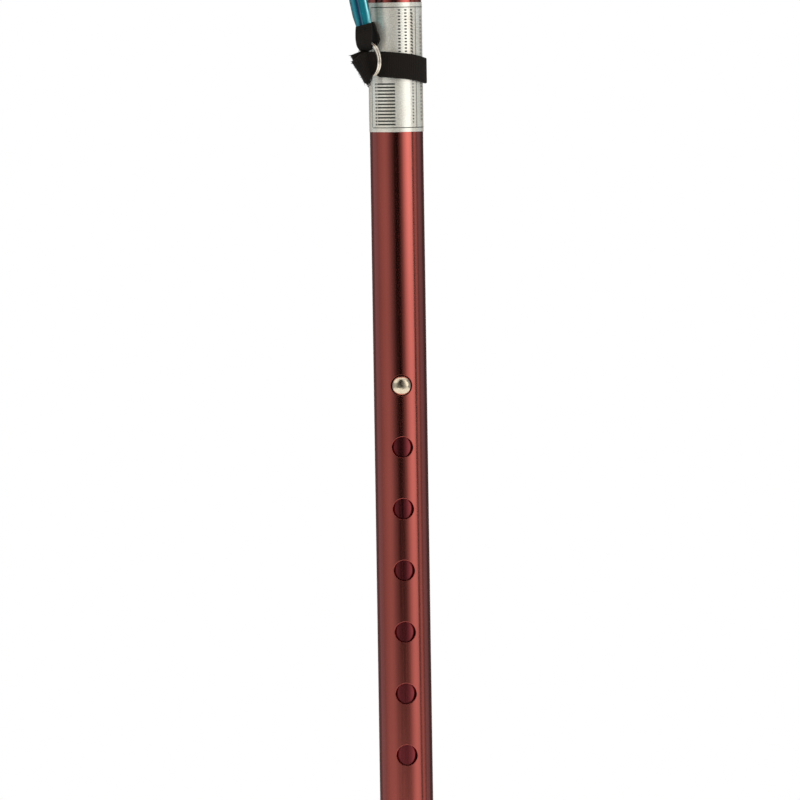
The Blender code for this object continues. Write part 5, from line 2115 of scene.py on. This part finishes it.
    def make_tail_sewing(self) -> None:
        """The stitches along the tail's cut end, and the threads that stand out of it."""
        low, high = self.tail_edges(False)
        steps = np.linspace(0.06, 0.94, 12)[:, None]
        proud = self.strap_thick / 2 + 0.12 * MM
        rows = []
        for share in (0.90, 0.80):
            index = int(share * (len(low) - 1))
            line = low[index] + (high[index] - low[index]) * steps
            rows.append(self.on_tail(line, share, proud=proud))
        self.sew("tail_stitches", rows, 1.15 * MM, 0.85 * MM, 0.34 * MM)
        threads = loose_threads()
        ends = []
        # the front and the rear layer's cut end, and the lower edge near the ring
        for number, (rear, below, pitch, length, thick) in enumerate(
            ((False, False, 0.45, 1.1, 0.08), (True, False, 0.5, 1.0, 0.08), (False, True, 0.1, 1.7, 0.13))
        ):
            low, high = self.tail_edges(rear)
            line = low[4:] if below else np.linspace(low[-1], high[-1], 14)
            row = edge_line(f"frayed_end_{number}", self.to_world(self.on_tail(line, rear=rear)))
            values = {
                "Pitch": pitch * MM, "Length": length * MM, "Thread": thick * MM,
                "Heading": tuple(self.to_world(unit(self.out * (-0.5 if below else 0.8) - 0.6 * self.up))),
                "Seed": 3 + number, "Material": THREAD.material()
            }
            ends.append(threads.run(row, values))
        dress(joined("frayed_ends", ends), THREAD, Body.UPPER)

    def make_ring(self) -> Piece:
        """The split ring: two turns of flattened wire that step over at one place."""
        centre = self.ring_centre()
        gap = 0.16
        turn = np.linspace(gap, 2 * FULL_TURN - gap, 220)
        step_over = np.clip((turn - FULL_TURN + gap) / (2 * gap), 0.0, 1.0)
        shift = (step_over * step_over * (3 - 2 * step_over) - 0.5) * (self.ring_axial + 0.06 * MM)
        angles = (turn + math.radians(200.0))[:, None]
        lean = math.radians(self.ring_lean)
        rise = math.cos(lean) * self.up - math.sin(lean) * self.normal
        axle = math.cos(lean) * self.normal + math.sin(lean) * self.up
        radial = np.cos(angles) * self.across + np.sin(angles) * rise
        centres = centre + self.ring_radius * radial + shift[:, None] * axle
        section = rounded_section(self.ring_axial, self.ring_radial, 0.3 * MM, 4, 2)
        ring = self.sweep("split_ring_wound", centres, axle, radial, section, 60.0)
        return dress(ring, NICKEL, Body.UPPER, ["split_ring"])

    def make_tab(self) -> Piece:
        """The tab: webbing folded up round the ring, over the loop's two ends."""
        data = smooth_line(np.array(self.tab_rows) * (MM, MM, MM, MM, 1.0, 1.0), 96)
        centres = data[:, :3]
        turn, tilt = np.radians(data[:, 4:].T)
        across = round_z(np.cos(tilt), turn, np.sin(tilt))
        outward = unit(np.cross(across, unit(np.gradient(centres, axis=0))))
        edge = 0.42 * self.strap_thick
        outline = rounded_section(2.0, self.strap_thick, edge, 3, 8)
        half = data[:, 3:4] - edge
        side = np.sign(outline[:, 0])
        rim = side * half + outline[:, 0] - side * (1.0 - edge)
        inner = outline[:, 0] / (1.0 - edge) * half
        widths = np.where(np.abs(outline[:, 0]) >= 1.0 - edge - 1e-9, rim, inner)
        ribs = 1.0 + 0.09 * np.cos(FULL_TURN * lengths_along(centres) / self.rib_pitch)
        sections = np.stack([widths, outline[:, 1] * ribs[:, None]], axis=2)
        tab = self.sweep("strap_tab_folded", centres, across, outward, sections, 70.0)
        return dress(tab, WEBBING, Body.UPPER, ["strap_tab"])

    def make_tab_sewing(self) -> None:
        """The rows of stitches across the tab's front."""
        spots = np.linspace(-2.9, 2.9, 9)
        rows = [
            np.stack(np.broadcast_arrays(spots - 12.7, -17.58, height + 0.2 * spots), axis=1) * MM
            for height in (494.2, 493.2)
        ]
        self.sew("tab_stitches", rows, 0.95 * MM, 0.75 * MM, 0.32 * MM)

    def build(self) -> None:
        """Makes the strap, the ring, the tab and their sewing."""
        self.make_strap()
        self.make_tail_sewing()
        self.make_ring()
        self.make_tab()
        self.make_tab_sewing()

    def sweep(
        self, name: str, centres: Array, across: Array, outward: Array, sections: Array, crease: float
    ) -> Piece:
        """Sweeps a section along a path of the wrist set's own frame, as swept does."""
        return swept(name, *map(self.to_world, (centres, across, outward)), sections, crease=crease)

    def on_tail(self, line: Array, share: object = 1.0, rear: bool = False, proud: float = 0.0) -> Array:
        """Points on a layer of the tail, in the wrist set's frame.

        Args:
            line: The points as (outwards, up).
            share: Where they lie between the layer's root and its end, which stands off the other's.
            rear: Whether it is the rear layer.
            proud: How far they stand off the layer's middle.

        Returns:
            The points.
        """
        layer = self.sideways + (-self.apart if rear else self.apart) + proud
        spread = (self.rear_spread if rear else self.front_spread) * share**2
        points = line[:, :1] * self.out + np.reshape(layer + spread, (-1, 1)) * self.across
        points[:, 2] = self.strap_height + line[:, 1]
        return points

    def sew(self, name: str, rows: Sequence[Array], pitch: float, stitch: float, thread: float) -> None:
        """Sews rows of stitches.

        Args:
            name: The name of the piece that they make.
            rows: The points of each row, in the wrist set's frame.
            pitch: The distance between stitches.
            stitch: The length of one.
            thread: The thread's thickness.
        """
        recipe = stitch_row()
        values = {"Pitch": pitch, "Stitch": stitch, "Thread": thread, "Material": THREAD.material()}
        lines = [edge_line(f"{name}_{number}", self.to_world(row)) for number, row in enumerate(rows)]
        dress(joined(name, [recipe.run(line, values) for line in lines]), THREAD, Body.UPPER)


def main() -> None:
    """Builds the studio and then every part of the cane."""
    logging.basicConfig(level=logging.INFO, format="%(message)s")
    Studio().build()
    WristLoop().build()
    UpperSection().build()
    LowerSection().build()
    SnapButton().build()
    Clamp().build()
    HandleHead().build()
    WristFittings().build()


if __name__ == "__main__":
    main()
